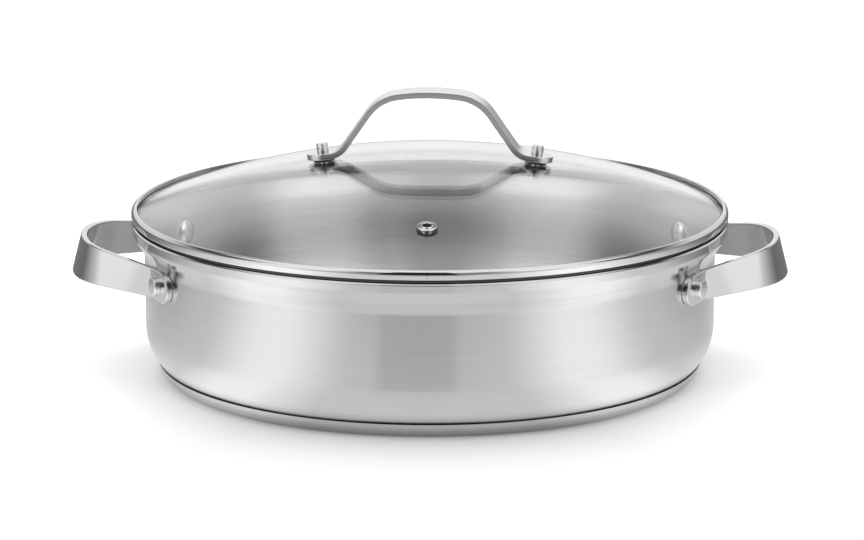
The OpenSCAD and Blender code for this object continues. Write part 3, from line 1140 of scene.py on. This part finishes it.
    def rivet(self, row: Row) -> Piece:
        """Builds one rivet on its radial line.

        Args:
            row: which of the two rivets.
        Returns:
            The rivet.
        """
        inner_r = self.wall_r - self.sheet
        half = self.inner_d / 2
        inner_seat = math.sqrt(inner_r**2 - half**2) - self.seat
        turns = [math.radians(a) for a in range(0, 91, 6)]
        inner = [(half * math.sin(a), inner_seat - self.inner_h * math.cos(a)) for a in turns]
        head, out, r = self.head_d / 2, self.lug_r, self.head_round
        top = out + self.head_h
        side_top = top - self.head_drop - r
        crown_r = (head - r) / math.sin(math.radians(self.head_slope))
        outline = inner + [(self.shank_d / 2, inner_seat), (self.shank_d / 2, out), (head, out)]
        outline += [(head, side_top)] + arc(head - r, side_top, r, 0, 90 - self.head_slope, 10)
        outline += arc(0, top - crown_r, crown_r, 90 - self.head_slope, 90, 6)[1:]
        turn = self.rivet_angle * row.value
        if self.side is Side.LEFT:
            turn = 180 - turn
        place = (
            Matrix.Rotation(math.radians(turn), 4, "Z")
            @ Matrix.Translation((0, 0, self.rivet_z * MM))
            @ Matrix.Rotation(math.pi / 2, 4, "Y")
        )
        name = f"{self.side.name.lower()}_{row.name.lower()}_rivet_head"
        return turned(name, outline, SMALL_STEPS, place=place)

    def build(self, shop: Workshop) -> None:
        """Builds and dresses the loop and its rivets.

        Args:
            shop: where the pieces get their finish.
        """
        half = self.half_plan()
        plan = [(x, -y, -a, share) for x, y, a, share in reversed(half[1:])] + half
        name = self.side.name.lower()
        stock = StrapStock(self.thick, self.edge)
        piece = stock.bent(f"{name}_handle_strap", [self.section(s) for s in plan])
        shop.fit(piece, "handle_steel", "pan", f"{name}_handle")
        for row in Row:
            shop.fit(self.rivet(row), "rivet_steel", "pan", f"{name}_{row.name.lower()}_rivet")


# ---- the lid -------------------------------------------------------------------------


@dataclass
class Dome:
    """The glass's outer ball, and the places of what is mounted on it."""

    edge_r: float = 144.4
    edge_z: float = 80.5
    rise: float = 27
    glass_t: float = 4

    @property
    def ball_r(self) -> float:
        """Gives the ball's radius."""
        return (self.edge_r**2 + self.rise**2) / (2 * self.rise)

    @property
    def ball_z(self) -> float:
        """Gives the height of the ball's centre."""
        return self.edge_z + self.rise - self.ball_r

    def height(self, reach: float, depth: float = 0) -> float:
        """Gives the height of the glass at a distance from the axis.

        Args:
            reach: the distance.
            depth: how far below the outer surface.
        Returns:
            The height.
        """
        return self.ball_z + math.sqrt((self.ball_r - depth) ** 2 - reach**2)

    def mount(self, direction: float, reach: float) -> Matrix:
        """Gives the frame of a piece that stands square on the glass.

        Args:
            direction: its direction from the lid's centre in degrees.
            reach: its distance from the lid's axis.
        Returns:
            The frame in metres, with Z out of the glass and X away from the centre.
        """
        return (
            Matrix.Rotation(math.radians(direction), 4, "Z")
            @ Matrix.Translation((0, 0, self.ball_z * MM))
            @ Matrix.Rotation(math.asin(reach / self.ball_r), 4, "Y")
            @ Matrix.Translation((0, 0, self.ball_r * MM))
        )


@dataclass
class GlassLid:
    """The glass dome and its steel band.

    A bore is the frame of a hole in the glass and the hole's radius.
    """

    dome: Dome
    bores: Sequence[tuple[Matrix, float]]
    rings: int = 44
    steps: int = 288
    edge_round: float = 1.1
    drill_steps: int = 64
    drill_low: float = -9
    drill_high: float = 6
    sharp_angle: float = 30
    on_ball: float = 0.995
    seat_z: float = 76.7
    bead_z: float = 78.1
    bead_h: float = 4.85
    bead_r: float = 2.3
    bead_top: float = 0.5
    bead_under: float = 0.9
    crown_start: float = 75
    inner_round: float = 0.5
    inner_drop: float = 0.05
    band_r: float = 147.1
    skirt_r: float = 145.4
    skirt_t: float = 0.8
    skirt_h: float = 4.4
    step: float = 0.1
    glass_gap: float = 0.2
    hook_gap: float = 0.4
    hook_w: float = 1.1
    hook_t: float = 0.9

    def glass(self) -> Piece:
        """Builds the glass with its drilled holes.

        Returns:
            The glass.
        """
        d, n = self.dome, self.rings
        reaches = [d.edge_r * k / n for k in range(n)]
        top = [(r, d.height(r)) for r in reaches]
        low = [(r, d.height(r, d.glass_t)) for r in reversed(reaches)]
        corners = [top[-1], (d.edge_r, d.edge_z), (d.edge_r, d.height(d.edge_r, d.glass_t)), low[0]]
        rim = rounded(corners, self.edge_round, (1, 2), 6)[1:-1]
        piece = lathe("dome_glass", top + rim + low, self.steps)
        for i, (place, radius) in enumerate(self.bores):
            side = [(0, self.drill_low), (radius, self.drill_low)]
            side += [(radius, self.drill_high), (0, self.drill_high)]
            drill = lathe(f"drill_{i}", side, self.drill_steps)
            drill.matrix_world = place
            cut = piece.modifiers.new("bore", "BOOLEAN")
            cut.object = drill
            cut.solver = "EXACT"
            settle(piece)
            bpy.data.objects.remove(drill)
        self._smooth_dome(piece)
        return piece

    def _smooth_dome(self, piece: Piece) -> None:
        """Gives the glass's faces the exact normals of their balls.

        Args:
            piece: the glass.
        """
        mesh = piece.data
        mesh.set_sharp_from_angle(angle=math.radians(self.sharp_angle))
        centre = Vector((0, 0, self.dome.ball_z * MM))
        normals = [corner.vector.copy() for corner in mesh.corner_normals]
        for face in mesh.polygons:
            facing = face.normal.dot((face.center - centre).normalized())
            if abs(facing) < self.on_ball:
                continue
            sign = 1.0 if facing > 0 else -1.0
            for k in face.loop_indices:
                spot = mesh.vertices[mesh.loops[k].vertex_index].co
                normals[k] = (spot - centre).normalized() * sign
        mesh.normals_split_custom_set(normals)

    def band(self) -> Piece:
        """Builds the steel band round the glass.

        Returns:
            The band.
        """
        d, r, under, small = self.dome, self.bead_r, self.bead_under, self.inner_round
        top = self.bead_z + self.bead_h
        groove_r = self.skirt_r - self.skirt_t
        inner_r = self.band_r - r - self.bead_top
        step_r = self.skirt_r + self.step
        skirt_z = self.seat_z - self.skirt_h
        hook_r = groove_r - self.hook_w
        hook_z = d.height(d.edge_r, d.glass_t) - self.hook_gap
        hook_low = hook_z - self.hook_t
        first, last = self.crown_start, 180 - self.crown_start
        outer = arc(self.band_r - r, top - r, r, 0, first, 12)
        inner = arc(inner_r + small, top - small - self.inner_drop, small, last, 180, 6)
        start, end = outer[-1], inner[0]
        turn = math.radians(first)
        crown_r = (start[0] - end[0]) / (2 * math.cos(turn))
        crown_z = start[1] - crown_r * math.sin(turn)
        crown = arc((start[0] + end[0]) / 2, crown_z, crown_r, first, last, 8)
        outline = (
            [(groove_r, skirt_z), (self.skirt_r, skirt_z), (self.skirt_r, self.seat_z)]
            + [(step_r, self.seat_z), (step_r, self.bead_z)]
            + arc(self.band_r - under, self.bead_z + under, under, -90, 0, 8)
            + outer
            + crown[1:-1]
            + inner
            + [(edge_r, d.height(edge_r) + self.glass_gap) for edge_r in (inner_r, groove_r)]
            + [(groove_r, hook_z), (hook_r, hook_z), (hook_r, hook_low), (groove_r, hook_low)]
        )
        return turned("lid_band", outline, WIDE_STEPS, closed=True)

    def build(self, shop: Workshop) -> None:
        """Builds and dresses the glass and its band.

        Args:
            shop: where the pieces get their finish.
        """
        shop.fit(self.glass(), "lid_glass", "lid", "lid_glass")
        shop.fit(self.band(), "rim_steel", "lid", "lid_rim")


@dataclass
class LidHandle:
    """The arched strap on the lid with its studs and gaskets."""

    dome: Dome
    turn: float = -2.2
    pitch: float = 104.4
    width: float = 16
    thick: float = 3
    height: float = 32.6
    crown_r: float = 114
    crown_half: float = 7.7
    shoulder_r: float = 21.6
    leg_angle: float = 55.2
    ankle_r: float = 10.8
    nose_steps: int = 17
    nose_turn: float = 5.05
    edge: float = 0.35
    gasket_t: float = 1.5
    gasket_round: float = 0.35
    seat: float = 0.03
    stud_d: float = 5.8
    stud_h: float = 4.7
    stud_foot: float = 0.15
    stud_round: float = 0.5
    stud_crown: float = 0.25
    sleeve_d: float = 5
    sleeve_gap: float = 0.1
    bore_d: float = 3.2
    gasket_d: float = 10.6
    inner_gasket_t: float = 1.5
    inner_gasket_d: float = 12.4

    @property
    def lean(self) -> float:
        """Gives the studs' lean from upright in degrees."""
        return math.degrees(math.asin(self.pitch / 2 / self.dome.ball_r))

    @property
    def foot_low(self) -> float:
        """Gives the height of a foot's underside over the glass."""
        return self.seat + self.gasket_t

    @property
    def gasket_low(self) -> float:
        """Gives the level of the inner gasket's underside along a stud."""
        sink = (self.inner_gasket_d / 2) ** 2 / (2 * (self.dome.ball_r - self.dome.glass_t))
        return -self.dome.glass_t - (sink + self.seat) - self.inner_gasket_t

    def mount(self, side: Side) -> Matrix:
        """Gives the frame of a stud."""
        return self.dome.mount(self.turn + 90 - 90 * side.value, self.pitch / 2)

    def half_path(self) -> list[tuple[Vector, Vector, float]]:
        """Lays out half of the arch, seen from the front.

        Returns:
            For each station its place, the direction of its outer face, and its half width.
        """
        leg, lean = math.radians(self.leg_angle), math.radians(self.lean)
        crown_z = self.dome.ball_z + self.dome.ball_r + self.height - self.thick / 2 - self.crown_r
        half = math.radians(self.crown_half)
        gather = self.crown_r - self.shoulder_r
        shoulder = Vector((gather * math.sin(half), crown_z + gather * math.cos(half)))
        leg_out = Vector((math.sin(leg), math.cos(leg)))
        foot_out = Vector((math.sin(lean), math.cos(lean)))
        foot_r = self.dome.ball_r + self.foot_low + self.thick / 2
        foot = Vector((0, self.dome.ball_z)) + foot_out * foot_r
        past_leg = shoulder.dot(leg_out) + self.shoulder_r + self.ankle_r
        past_foot = foot.dot(foot_out) + self.ankle_r
        ankle_x = past_leg * foot_out.y - past_foot * leg_out.y
        ankle_z = past_foot * leg_out.x - past_leg * foot_out.x
        ankle = Vector((ankle_x, ankle_z)) / math.sin(leg - lean)
        wide = self.width / 2
        bends = (
            (Vector((0, crown_z)), self.crown_r, 90, 90 - self.crown_half, 0, 10),
            (shoulder, self.shoulder_r, 90 - self.crown_half, 90 - self.leg_angle, 1, 28),
            (ankle, -self.ankle_r, 270 - self.leg_angle, 270 - self.lean, 0, 22),
        )
        path: list[tuple[Vector, Vector, float]] = []
        for centre, r, start, end, first, steps in bends:
            for i in range(first, steps + 1):
                out = heading(start + (end - start) * i / steps) * math.copysign(1.0, r)
                path.append((centre + out * r, out, wide))
        away = Vector((foot_out.y, -foot_out.x))
        path.append((foot, foot_out, wide))
        for i in range(1, self.nose_steps + 1):
            phi = math.radians(i * self.nose_turn)
            path.append((foot + away * wide * math.sin(phi), foot_out, wide * math.cos(phi)))
        return path

    def arch(self) -> Piece:
        """Builds the arched strap.

        Returns:
            The strap.
        """
        half = self.half_path()
        mirrored = [
            (Vector((-p.x, p.y)), Vector((-out.x, out.y)), w) for p, out, w in reversed(half[1:])
        ]
        sections = [
            Section(Vector((p.x, 0, p.y)), Vector((out.x, 0, out.y)), Vector((0, 1, 0)), w)
            for p, out, w in mirrored + half
        ]
        piece = StrapStock(self.thick, self.edge).bent("lid_handle_arch", sections)
        piece.matrix_world = Matrix.Rotation(math.radians(self.turn), 4, "Z")
        return piece

    def stud(self, side: Side) -> Piece:
        """Builds a stud with the sleeve below it.

        Args:
            side: which end it is on.
        Returns:
            The stud.
        """
        foot = self.foot_low + self.thick
        head, top, r = self.stud_d / 2, foot + self.stud_h, self.stud_round
        bore, sleeve = self.bore_d / 2, self.sleeve_d / 2
        small, drop = self.stud_foot, self.stud_crown
        bore_top = foot + self.stud_h / 2
        outline = [(0, bore_top), (bore, bore_top), (bore, self.gasket_low)]
        outline += [(sleeve, self.gasket_low), (sleeve, foot), (head - small, foot)]
        outline += arc(head - small, foot + small, small, -90, 0, 3)[1:]
        outline += arc(head - r, top - drop - r, r, 0, 80, 7)
        outline += [((head - r) * s, top - drop * s * s) for s in (0.66, 0.33, 0)]
        name = f"{side.name.lower()}_stud_head"
        return turned(name, outline, SMALL_STEPS, place=self.mount(side))

    def gasket(self, side: Side) -> Piece:
        """Builds the soft ring between a foot and the glass.

        Args:
            side: which end it is on.
        Returns:
            The ring.
        """
        inner, outer = self.sleeve_d / 2 + self.sleeve_gap, self.gasket_d / 2
        low, high = self.seat, self.foot_low
        corners = [(inner, low), (outer, low), (outer, high), (inner, high)]
        outline = rounded(corners, self.gasket_round, (1, 2), 4)
        name = f"{side.name.lower()}_foot_gasket"
        return turned(name, outline, SMALL_STEPS, closed=True, place=self.mount(side))

    def build(self, shop: Workshop) -> None:
        """Builds and dresses the arch, its studs and its gaskets.

        Args:
            shop: where the pieces get their finish.
        """
        shop.fit(self.arch(), "lid_handle_steel", "lid", "lid_handle")
        for side in Side:
            name = side.name.lower()
            shop.fit(self.stud(side), "fastener_steel", "lid", f"{name}_lid_stud")
            shop.fit(self.gasket(side), "gasket_rubber", "lid", f"{name}_outer_gasket")
            shop.keep(f"{name}_inner_gasket", "gasket_rubber")
            shop.keep(f"{name}_inner_washer", "fastener_steel")
            shop.keep(f"{name}_lid_screw", "fastener_steel")


@dataclass
class SteamVent:
    """The steel eyelet in the glass that lets steam out."""

    dome: Dome
    direction: float = -89.6
    reach: float = 103.2
    bore_d: float = 4.3
    tube_d: float = 6
    tube_gap: float = 0.1
    flange_d: float = 9.4
    flange_t: float = 0.9
    flange_round: float = 0.22
    dish_h: float = 0.5
    dish_edge: float = 1.0
    collar_w: float = 1.0
    collar_foot: Point = (0.1, 0.08)
    collar_mid: float = 0.45
    collar_r: float = 0.4
    collar_inner_r: float = 0.3
    steps: int = 96
    washer_t: float = 1
    roll: float = 0.7
    roll_round: float = 0.2
    seat: float = 0.03

    @property
    def place(self) -> Matrix:
        """Gives the eyelet's frame."""
        return self.dome.mount(self.direction, self.reach)

    def eyelet(self) -> Piece:
        """Builds the eyelet: a raised collar, a dished flange, a tube and a rolled edge.

        Returns:
            The eyelet.
        """
        low = -self.dome.glass_t - self.washer_t - 2 * self.seat
        top, dish = self.seat + self.flange_t, self.seat + self.dish_h
        bore, tube, flange = self.bore_d / 2, self.tube_d / 2, self.flange_d / 2
        roll_r, roll_z, small = tube + self.roll, low - self.roll, self.roll_round
        outline = [(bore, roll_z), (roll_r - small, roll_z)]
        outline += arc(roll_r - small, roll_z + small, small, -90, 0, 3)[1:]
        outline += [(roll_r, low), (tube, low), (tube, self.seat), (flange, self.seat)]
        small = self.flange_round
        outline += arc(flange - small, self.seat + small, small, 0, 75, 5)
        (foot_r, foot_z), collar = self.collar_foot, bore + self.collar_w
        outline += [(flange - self.dish_edge, dish), (collar + foot_r, dish)]
        outline += [(collar, dish - foot_z)]
        outline += arc(bore + self.collar_mid, top - self.collar_r, self.collar_r, 10, 90, 5)
        small = self.collar_inner_r
        outline += arc(bore + small, top - small, small, 90, 180, 4)
        return turned("vent_collar", outline, self.steps, closed=True, place=self.place)

    def build(self, shop: Workshop) -> None:
        """Builds and dresses the eyelet, and dresses its washer.

        Args:
            shop: where the pieces get their finish.
        """
        shop.fit(self.eyelet(), "vent_steel", "lid", "vent_eyelet")
        shop.keep("vent_washer", "gasket_rubber")


# ---- the studio ----------------------------------------------------------------------


def both_sides(outer: Sequence[Point], middle: Sequence[Point] = ()) -> tuple[Point, ...]:
    """Mirrors levels to the left.

    Args:
        outer: directions in degrees and their levels, from 180 degrees inward.
        middle: the directions and levels between them, from left to right.
    Returns:
        All the directions and levels, from left to right.
    """
    return (*((-angle, level) for angle, level in outer), *middle, *reversed(outer))


@dataclass
class Studio:
    """White table, soft studio light and the camera.

    Directions round the pan are in degrees from the camera's side, positive to the right.
    Heights in the world are the z of the direction, from 0 level to 1 straight up. Places on
    the table are in metres from the pan's axis.

    Attributes:
        around: the levels that metal and glass mirror at the height of the table.
        above: the levels that they mirror higher up, with the two bright panels.
        overhead, overhead_up: the level straight above, and the heights where it begins.
        backdrop, backdrop_turn, backdrop_up: the level behind the pan, and where it begins.
        foot_turn, foot_up, foot_soft: how high the panels begin, at the side and behind.
        gap, gap_level, gap_low, gap_high, gap_soft: the dark gap at the camera.
        inside_gain: how much more light comes in through the glass.
        key_power, key_level, fill: the soft light from above, which matt surfaces get.
        near_turn, near: the table's mirrored level at the front and behind.
        pool, pool_turn, pool_fade: the painted pools of light on the table, left and right.
        painted_patch, painted_patch_soft, painted_patch_near, painted_patch_far, painted_patch_tilt,
            painted_patch_level: the painted grey patch of shade in front of the pan, which only
            mirrors that look along the table show.
        contact, contact_level: the painted shadow ring where the pan stands.
        table_edge, edge_soft: how far the table reaches in mirrors.
        glow_turn, glow: the painted light that the table gives off when it is seen directly, weak in
            front and strong at the sides and behind, where it whitens the pan's shadow away.
    """

    eye: tuple[float, float, float] = (0.03576, -1.82365, 0.4725)
    pitch_down: float = 13.062
    yaw: float = 1.09
    lens: float = 157.33
    sensor: float = 36.0
    clip: Point = (0.05, 100.0)
    table: tuple[float, float, float, float] = (-1.2, -0.6, 1.2, 1.2)
    table_steps: int = 8
    table_low: float = 0.05
    table_white: Colour = (0.93, 0.93, 0.93)
    around: tuple[Point, ...] = both_sides(
        (
            (180, 1.02), (171, 1.02), (166, 0.25), (118, 0.2), (104, 0.4), (84, 0.8), (74, 1.15),
            (54, 1.15), (42, 0.8),
        ),
        ((-20, 0.32), (13, 0.32)),
    )
    above: tuple[Point, ...] = both_sides(
        ((180, 0.16), (130, 0.12), (85, 0.1), (68, 1.25), (40, 1.35), (26, 0.28))
    )
    most: float = 4.0
    overhead: float = 1.2
    overhead_up: Point = (0.70, 0.80)
    backdrop: float = 0.92
    backdrop_turn: Point = (95, 125)
    backdrop_up: Point = (0.06, 0.14)
    foot_turn: Point = (90, 125)
    foot_up: Point = (0.28, 0.48)
    foot_soft: float = 0.16
    gap: Point = (-18.0, 11.5)
    gap_level: float = 0.03
    gap_low: Point = (-0.02, 0.01)
    gap_high: Point = (0.88, 0.93)
    gap_soft: float = 0.6
    inside_gain: float = 3.0
    key_power: float = 7.0
    key_level: float = 4.0
    fill: float = 0.16
    near_turn: Point = (80, 105)
    near: Point = (0.94, 0.74)
    pool: float = 0.55
    pool_turn: float = 48
    pool_fade: Point = (6, 24)
    painted_patch: Point = (-14.3, 8.8)
    painted_patch_soft: float = 0.8
    painted_patch_near: Point = (0.21, 0.26)
    painted_patch_far: Point = (0.37, 0.48)
    painted_patch_tilt: Point = (0.6, 0.74)
    painted_patch_level: float = 0.72
    contact: Point = (0.126, 0.140)
    contact_level: float = 0.08
    table_edge: tuple[Point, ...] = both_sides(
        ((180, 1.5), (172, 1.5), (166, 0.3), (100, 0.34), (60, 0.58)),
        ((-26, 0.58), (-18, 0.52), (12, 0.52), (20, 0.58)),
    )
    edge_soft: Point = (-0.03, 0.05)
    glow_turn: Point = (35, 85)
    glow: Point = (0.04, 0.3)

    def camera(self) -> None:
        """Adds the camera at the photograph's viewing angle."""
        data = bpy.data.cameras.new("camera")
        data.lens, data.sensor_width = self.lens, self.sensor
        data.clip_start, data.clip_end = self.clip
        eye = bpy.data.objects.new("camera", data)
        eye.location = self.eye
        eye.rotation_euler = (math.radians(90 - self.pitch_down), 0, math.radians(self.yaw))
        bpy.context.scene.collection.objects.link(eye)
        bpy.context.scene.camera = eye

    @staticmethod
    def _turn(sheet: NodeSheet, way: Socket) -> Socket:
        """Gives the direction round the pan, in radians."""
        x, y, _ = sheet.split(way)
        return sheet.math("ARCTAN2", x, sheet.times(y, -1.0))

    @staticmethod
    def _turned(sheet: NodeSheet, turn: Socket, degrees: Point, levels: Point) -> Socket:
        """Gives a level that goes from one value to another between two directions."""
        return sheet.span(turn, *(math.radians(v) for v in degrees), *levels)

    @staticmethod
    def _sector(sheet: NodeSheet, turn: Socket, degrees: Point, softness: float) -> Socket:
        """Gives 1 between two directions and 0 outside them.

        Args:
            sheet: the sheet.
            turn: the direction in radians.
            degrees: the two directions.
            softness: half the width of each border in degrees.
        Returns:
            The socket of the mask.
        """
        soft = math.radians(softness)
        rise, fall = ((math.radians(v) - soft, math.radians(v) + soft) for v in degrees)
        return sheet.band(turn, rise, fall)

    def _levels(self, sheet: NodeSheet, turn: Socket, stops: Sequence[Point]) -> Socket:
        """Gives a level that changes with the direction round the pan.

        Args:
            sheet: the sheet.
            turn: the direction in radians.
            stops: directions in degrees and their levels, none above the field most.
        Returns:
            The socket of the level.
        """
        ramp = sheet.add("ShaderNodeValToRGB", {0: sheet.span(turn, -math.pi, math.pi)})
        elements = ramp.color_ramp.elements
        elements.remove(elements[1])
        for i, (angle, level) in enumerate(stops):
            spot, share = (angle + 180) / 360, level / self.most
            element = elements[0] if i == 0 else elements.new(spot)
            element.position = spot
            element.color = (share, share, share, 1)
        return sheet.times(ramp.outputs[0], self.most)

    def _table_top(self) -> Piece:
        """Builds the table's top, just below the pan.

        Returns:
            The table top.
        """
        x0, y0, x1, y1 = (v / MM for v in self.table)
        n = self.table_steps
        verts = [
            Vector((x0 + (x1 - x0) * i / n, y0 + (y1 - y0) * j / n, -self.table_low))
            for j in range(n + 1)
            for i in range(n + 1)
        ]
        corners = [j * (n + 1) + i for j in range(n) for i in range(n)]
        return new_piece("floor", verts, [[a, a + 1, a + n + 2, a + n + 1] for a in corners])

    def _table_mirrored(self, sheet: NodeSheet, turn: Socket, reach: Socket) -> Socket:
        """Gives what metal and glass mirror of the table, and past its edge: painted pools of light, a
        painted grey patch and a painted shadow ring round the pan's foot.

        Args:
            sheet: the table's sheet.
            turn: the direction round the pan in radians.
            reach: the distance from the pan's axis.
        Returns:
            The socket of the level.
        """
        # Painted light and shade: metal and glass mirror a painted table, with pools of light at the
        # sides, a grey patch in front and a shadow ring at the pan's foot.
        away = sheet.math("ABSOLUTE", turn)
        off = sheet.math("ABSOLUTE", sheet.math("SUBTRACT", away, math.radians(self.pool_turn)))
        near = self._turned(sheet, away, self.near_turn, self.near)
        near = sheet.math("ADD", self._turned(sheet, off, self.pool_fade, (self.pool, 0.0)), near)
        grazing = sheet.add("ShaderNodeLayerWeight", {"Blend": 0.5}).outputs["Facing"]
        painted_patch = sheet.times(
            self._sector(sheet, turn, self.painted_patch, self.painted_patch_soft),
            sheet.band(reach, self.painted_patch_near, self.painted_patch_far),
            sheet.span(grazing, *self.painted_patch_tilt),
        )
        near = sheet.times(
            near,
            sheet.span(painted_patch, 0.0, 1.0, 1.0, self.painted_patch_level),
            sheet.span(reach, *self.contact, self.contact_level, 1.0),
        )
        past = sheet.math("SUBTRACT", reach, self._levels(sheet, turn, self.table_edge))
        far = self._levels(sheet, turn, self.around)
        return sheet.mix(sheet.span(past, *self.edge_soft), near, far)

    def floor(self) -> None:
        """Adds the white table top, which keeps the pan's shadow in front; its painted glow whitens
        the shadow at the sides and behind.
        """
        floor = self._table_top()
        material, sheet = new_material("floor_white")
        rays = sheet.add("ShaderNodeLightPath").outputs
        place = sheet.place()
        turn = self._turn(sheet, place)
        deep = sheet.math("GREATER_THAN", rays["Glossy Depth"], 0.5)
        mirrored = sheet.times(rays["Is Glossy Ray"], deep)
        shown = self._table_mirrored(sheet, turn, sheet.length(place))
        # Painted light: the table glows when seen directly, more at the sides and behind, whitening
        # the pan's shadow there.
        glow = self._turned(sheet, sheet.math("ABSOLUTE", turn), self.glow_turn, self.glow)
        seen = sheet.math("MAXIMUM", rays["Is Camera Ray"], rays["Is Transmission Ray"])
        glow = sheet.mix(mirrored, sheet.times(glow, seen), shown)
        white = shaded(sheet, self.table_white, sheet.math("SUBTRACT", 1.0, mirrored))
        matt = sheet.add("ShaderNodeBsdfDiffuse", {"Color": white})
        light = sheet.add("ShaderNodeEmission", {"Strength": glow})
        both = sheet.add("ShaderNodeAddShader", {0: matt.outputs[0], 1: light.outputs[0]})
        sheet.add("ShaderNodeOutputMaterial", {"Surface": both.outputs[0]})
        floor.data.materials.append(material)

    def _world_mirrored(self, sheet: NodeSheet, way: Socket, inside: Socket) -> Socket:
        """Gives what metal and glass mirror of the studio.

        Args:
            sheet: the world's sheet.
            way: the direction that is looked at.
            inside: 1 where the light comes in through the glass, and otherwise 0.
        Returns:
            The socket of the level.
        """
        turn = self._turn(sheet, way)
        up = sheet.split(way)[2]
        away = sheet.math("ABSOLUTE", turn)
        wall = sheet.times(
            self._turned(sheet, away, self.backdrop_turn, (0.0, self.backdrop)),
            sheet.span(up, *self.backdrop_up),
        )
        low = sheet.math("MAXIMUM", self._levels(sheet, turn, self.around), wall)
        high = self._levels(sheet, turn, self.above)
        high = sheet.times(high, sheet.span(inside, 0.0, 1.0, 1.0, self.inside_gain))
        foot = self._turned(sheet, away, self.foot_turn, self.foot_up)
        rise = sheet.span(sheet.math("SUBTRACT", up, foot), 0.0, self.foot_soft)
        studio = sheet.mix(rise, low, high)
        studio = sheet.mix(sheet.span(up, *self.overhead_up), studio, self.overhead)
        gap = sheet.times(
            self._sector(sheet, turn, self.gap, self.gap_soft),
            sheet.band(up, self.gap_low, self.gap_high),
        )
        return sheet.mix(gap, studio, self.gap_level)

    def world(self) -> None:
        """Adds the studio round the pan.

        What is seen directly or through the glass is white. Metal and glass mirror a white
        backdrop, two bright panels, a level above, dark screens between them and the dark gap
        at the camera. Matt surfaces get soft light from above.
        """
        world = bpy.data.worlds.new("studio")
        bpy.context.scene.world = world
        world.use_nodes = True
        sheet = NodeSheet(world.node_tree)
        way = sheet.add("ShaderNodeTexCoord").outputs["Generated"]
        rays = sheet.add("ShaderNodeLightPath").outputs
        inside = sheet.math("GREATER_THAN", rays["Transmission Depth"], 0.5)
        studio = self._world_mirrored(sheet, way, inside)
        toward = sheet.vector("DOT_PRODUCT", way, (0.0, 0.0, 1.0)).outputs["Value"]
        key = sheet.math("POWER", sheet.math("MAXIMUM", toward, 0.0), self.key_power)
        soft_light = sheet.math("MULTIPLY_ADD", key, self.key_level, self.fill)
        direct = sheet.math("LESS_THAN", rays["Glossy Depth"], 0.5)
        through = sheet.times(rays["Is Transmission Ray"], direct)
        seen = sheet.math("MAXIMUM", rays["Is Camera Ray"], through)
        level = sheet.mix(rays["Is Diffuse Ray"], studio, soft_light)
        level = sheet.mix(seen, level, 1.0)
        light = sheet.add("ShaderNodeBackground", {"Strength": level, "Color": (1, 1, 1, 1)})
        sheet.add("ShaderNodeOutputWorld", {"Surface": light.outputs[0]})

    def build(self) -> None:
        """Builds the studio."""
        self.floor()
        self.world()
        self.camera()
        bpy.context.scene.view_settings.view_transform = "Standard"


def main() -> None:
    """Builds the pan, its lid and the studio."""
    logging.basicConfig(level=logging.INFO, format="%(name)s: %(message)s")
    shop = Workshop()
    PanShell().build(shop)
    CapsuleBase().build(shop)
    for side in Side:
        SideHandle(side).build(shop)
    dome = Dome()
    handle = LidHandle(dome)
    vent = SteamVent(dome)
    bores = [(handle.mount(side), handle.sleeve_d / 2 + handle.sleeve_gap) for side in Side]
    bores.append((vent.place, vent.tube_d / 2 + vent.tube_gap))
    GlassLid(dome, bores).build(shop)
    handle.build(shop)
    vent.build(shop)
    Studio().build()


if __name__ == "__main__":
    main()
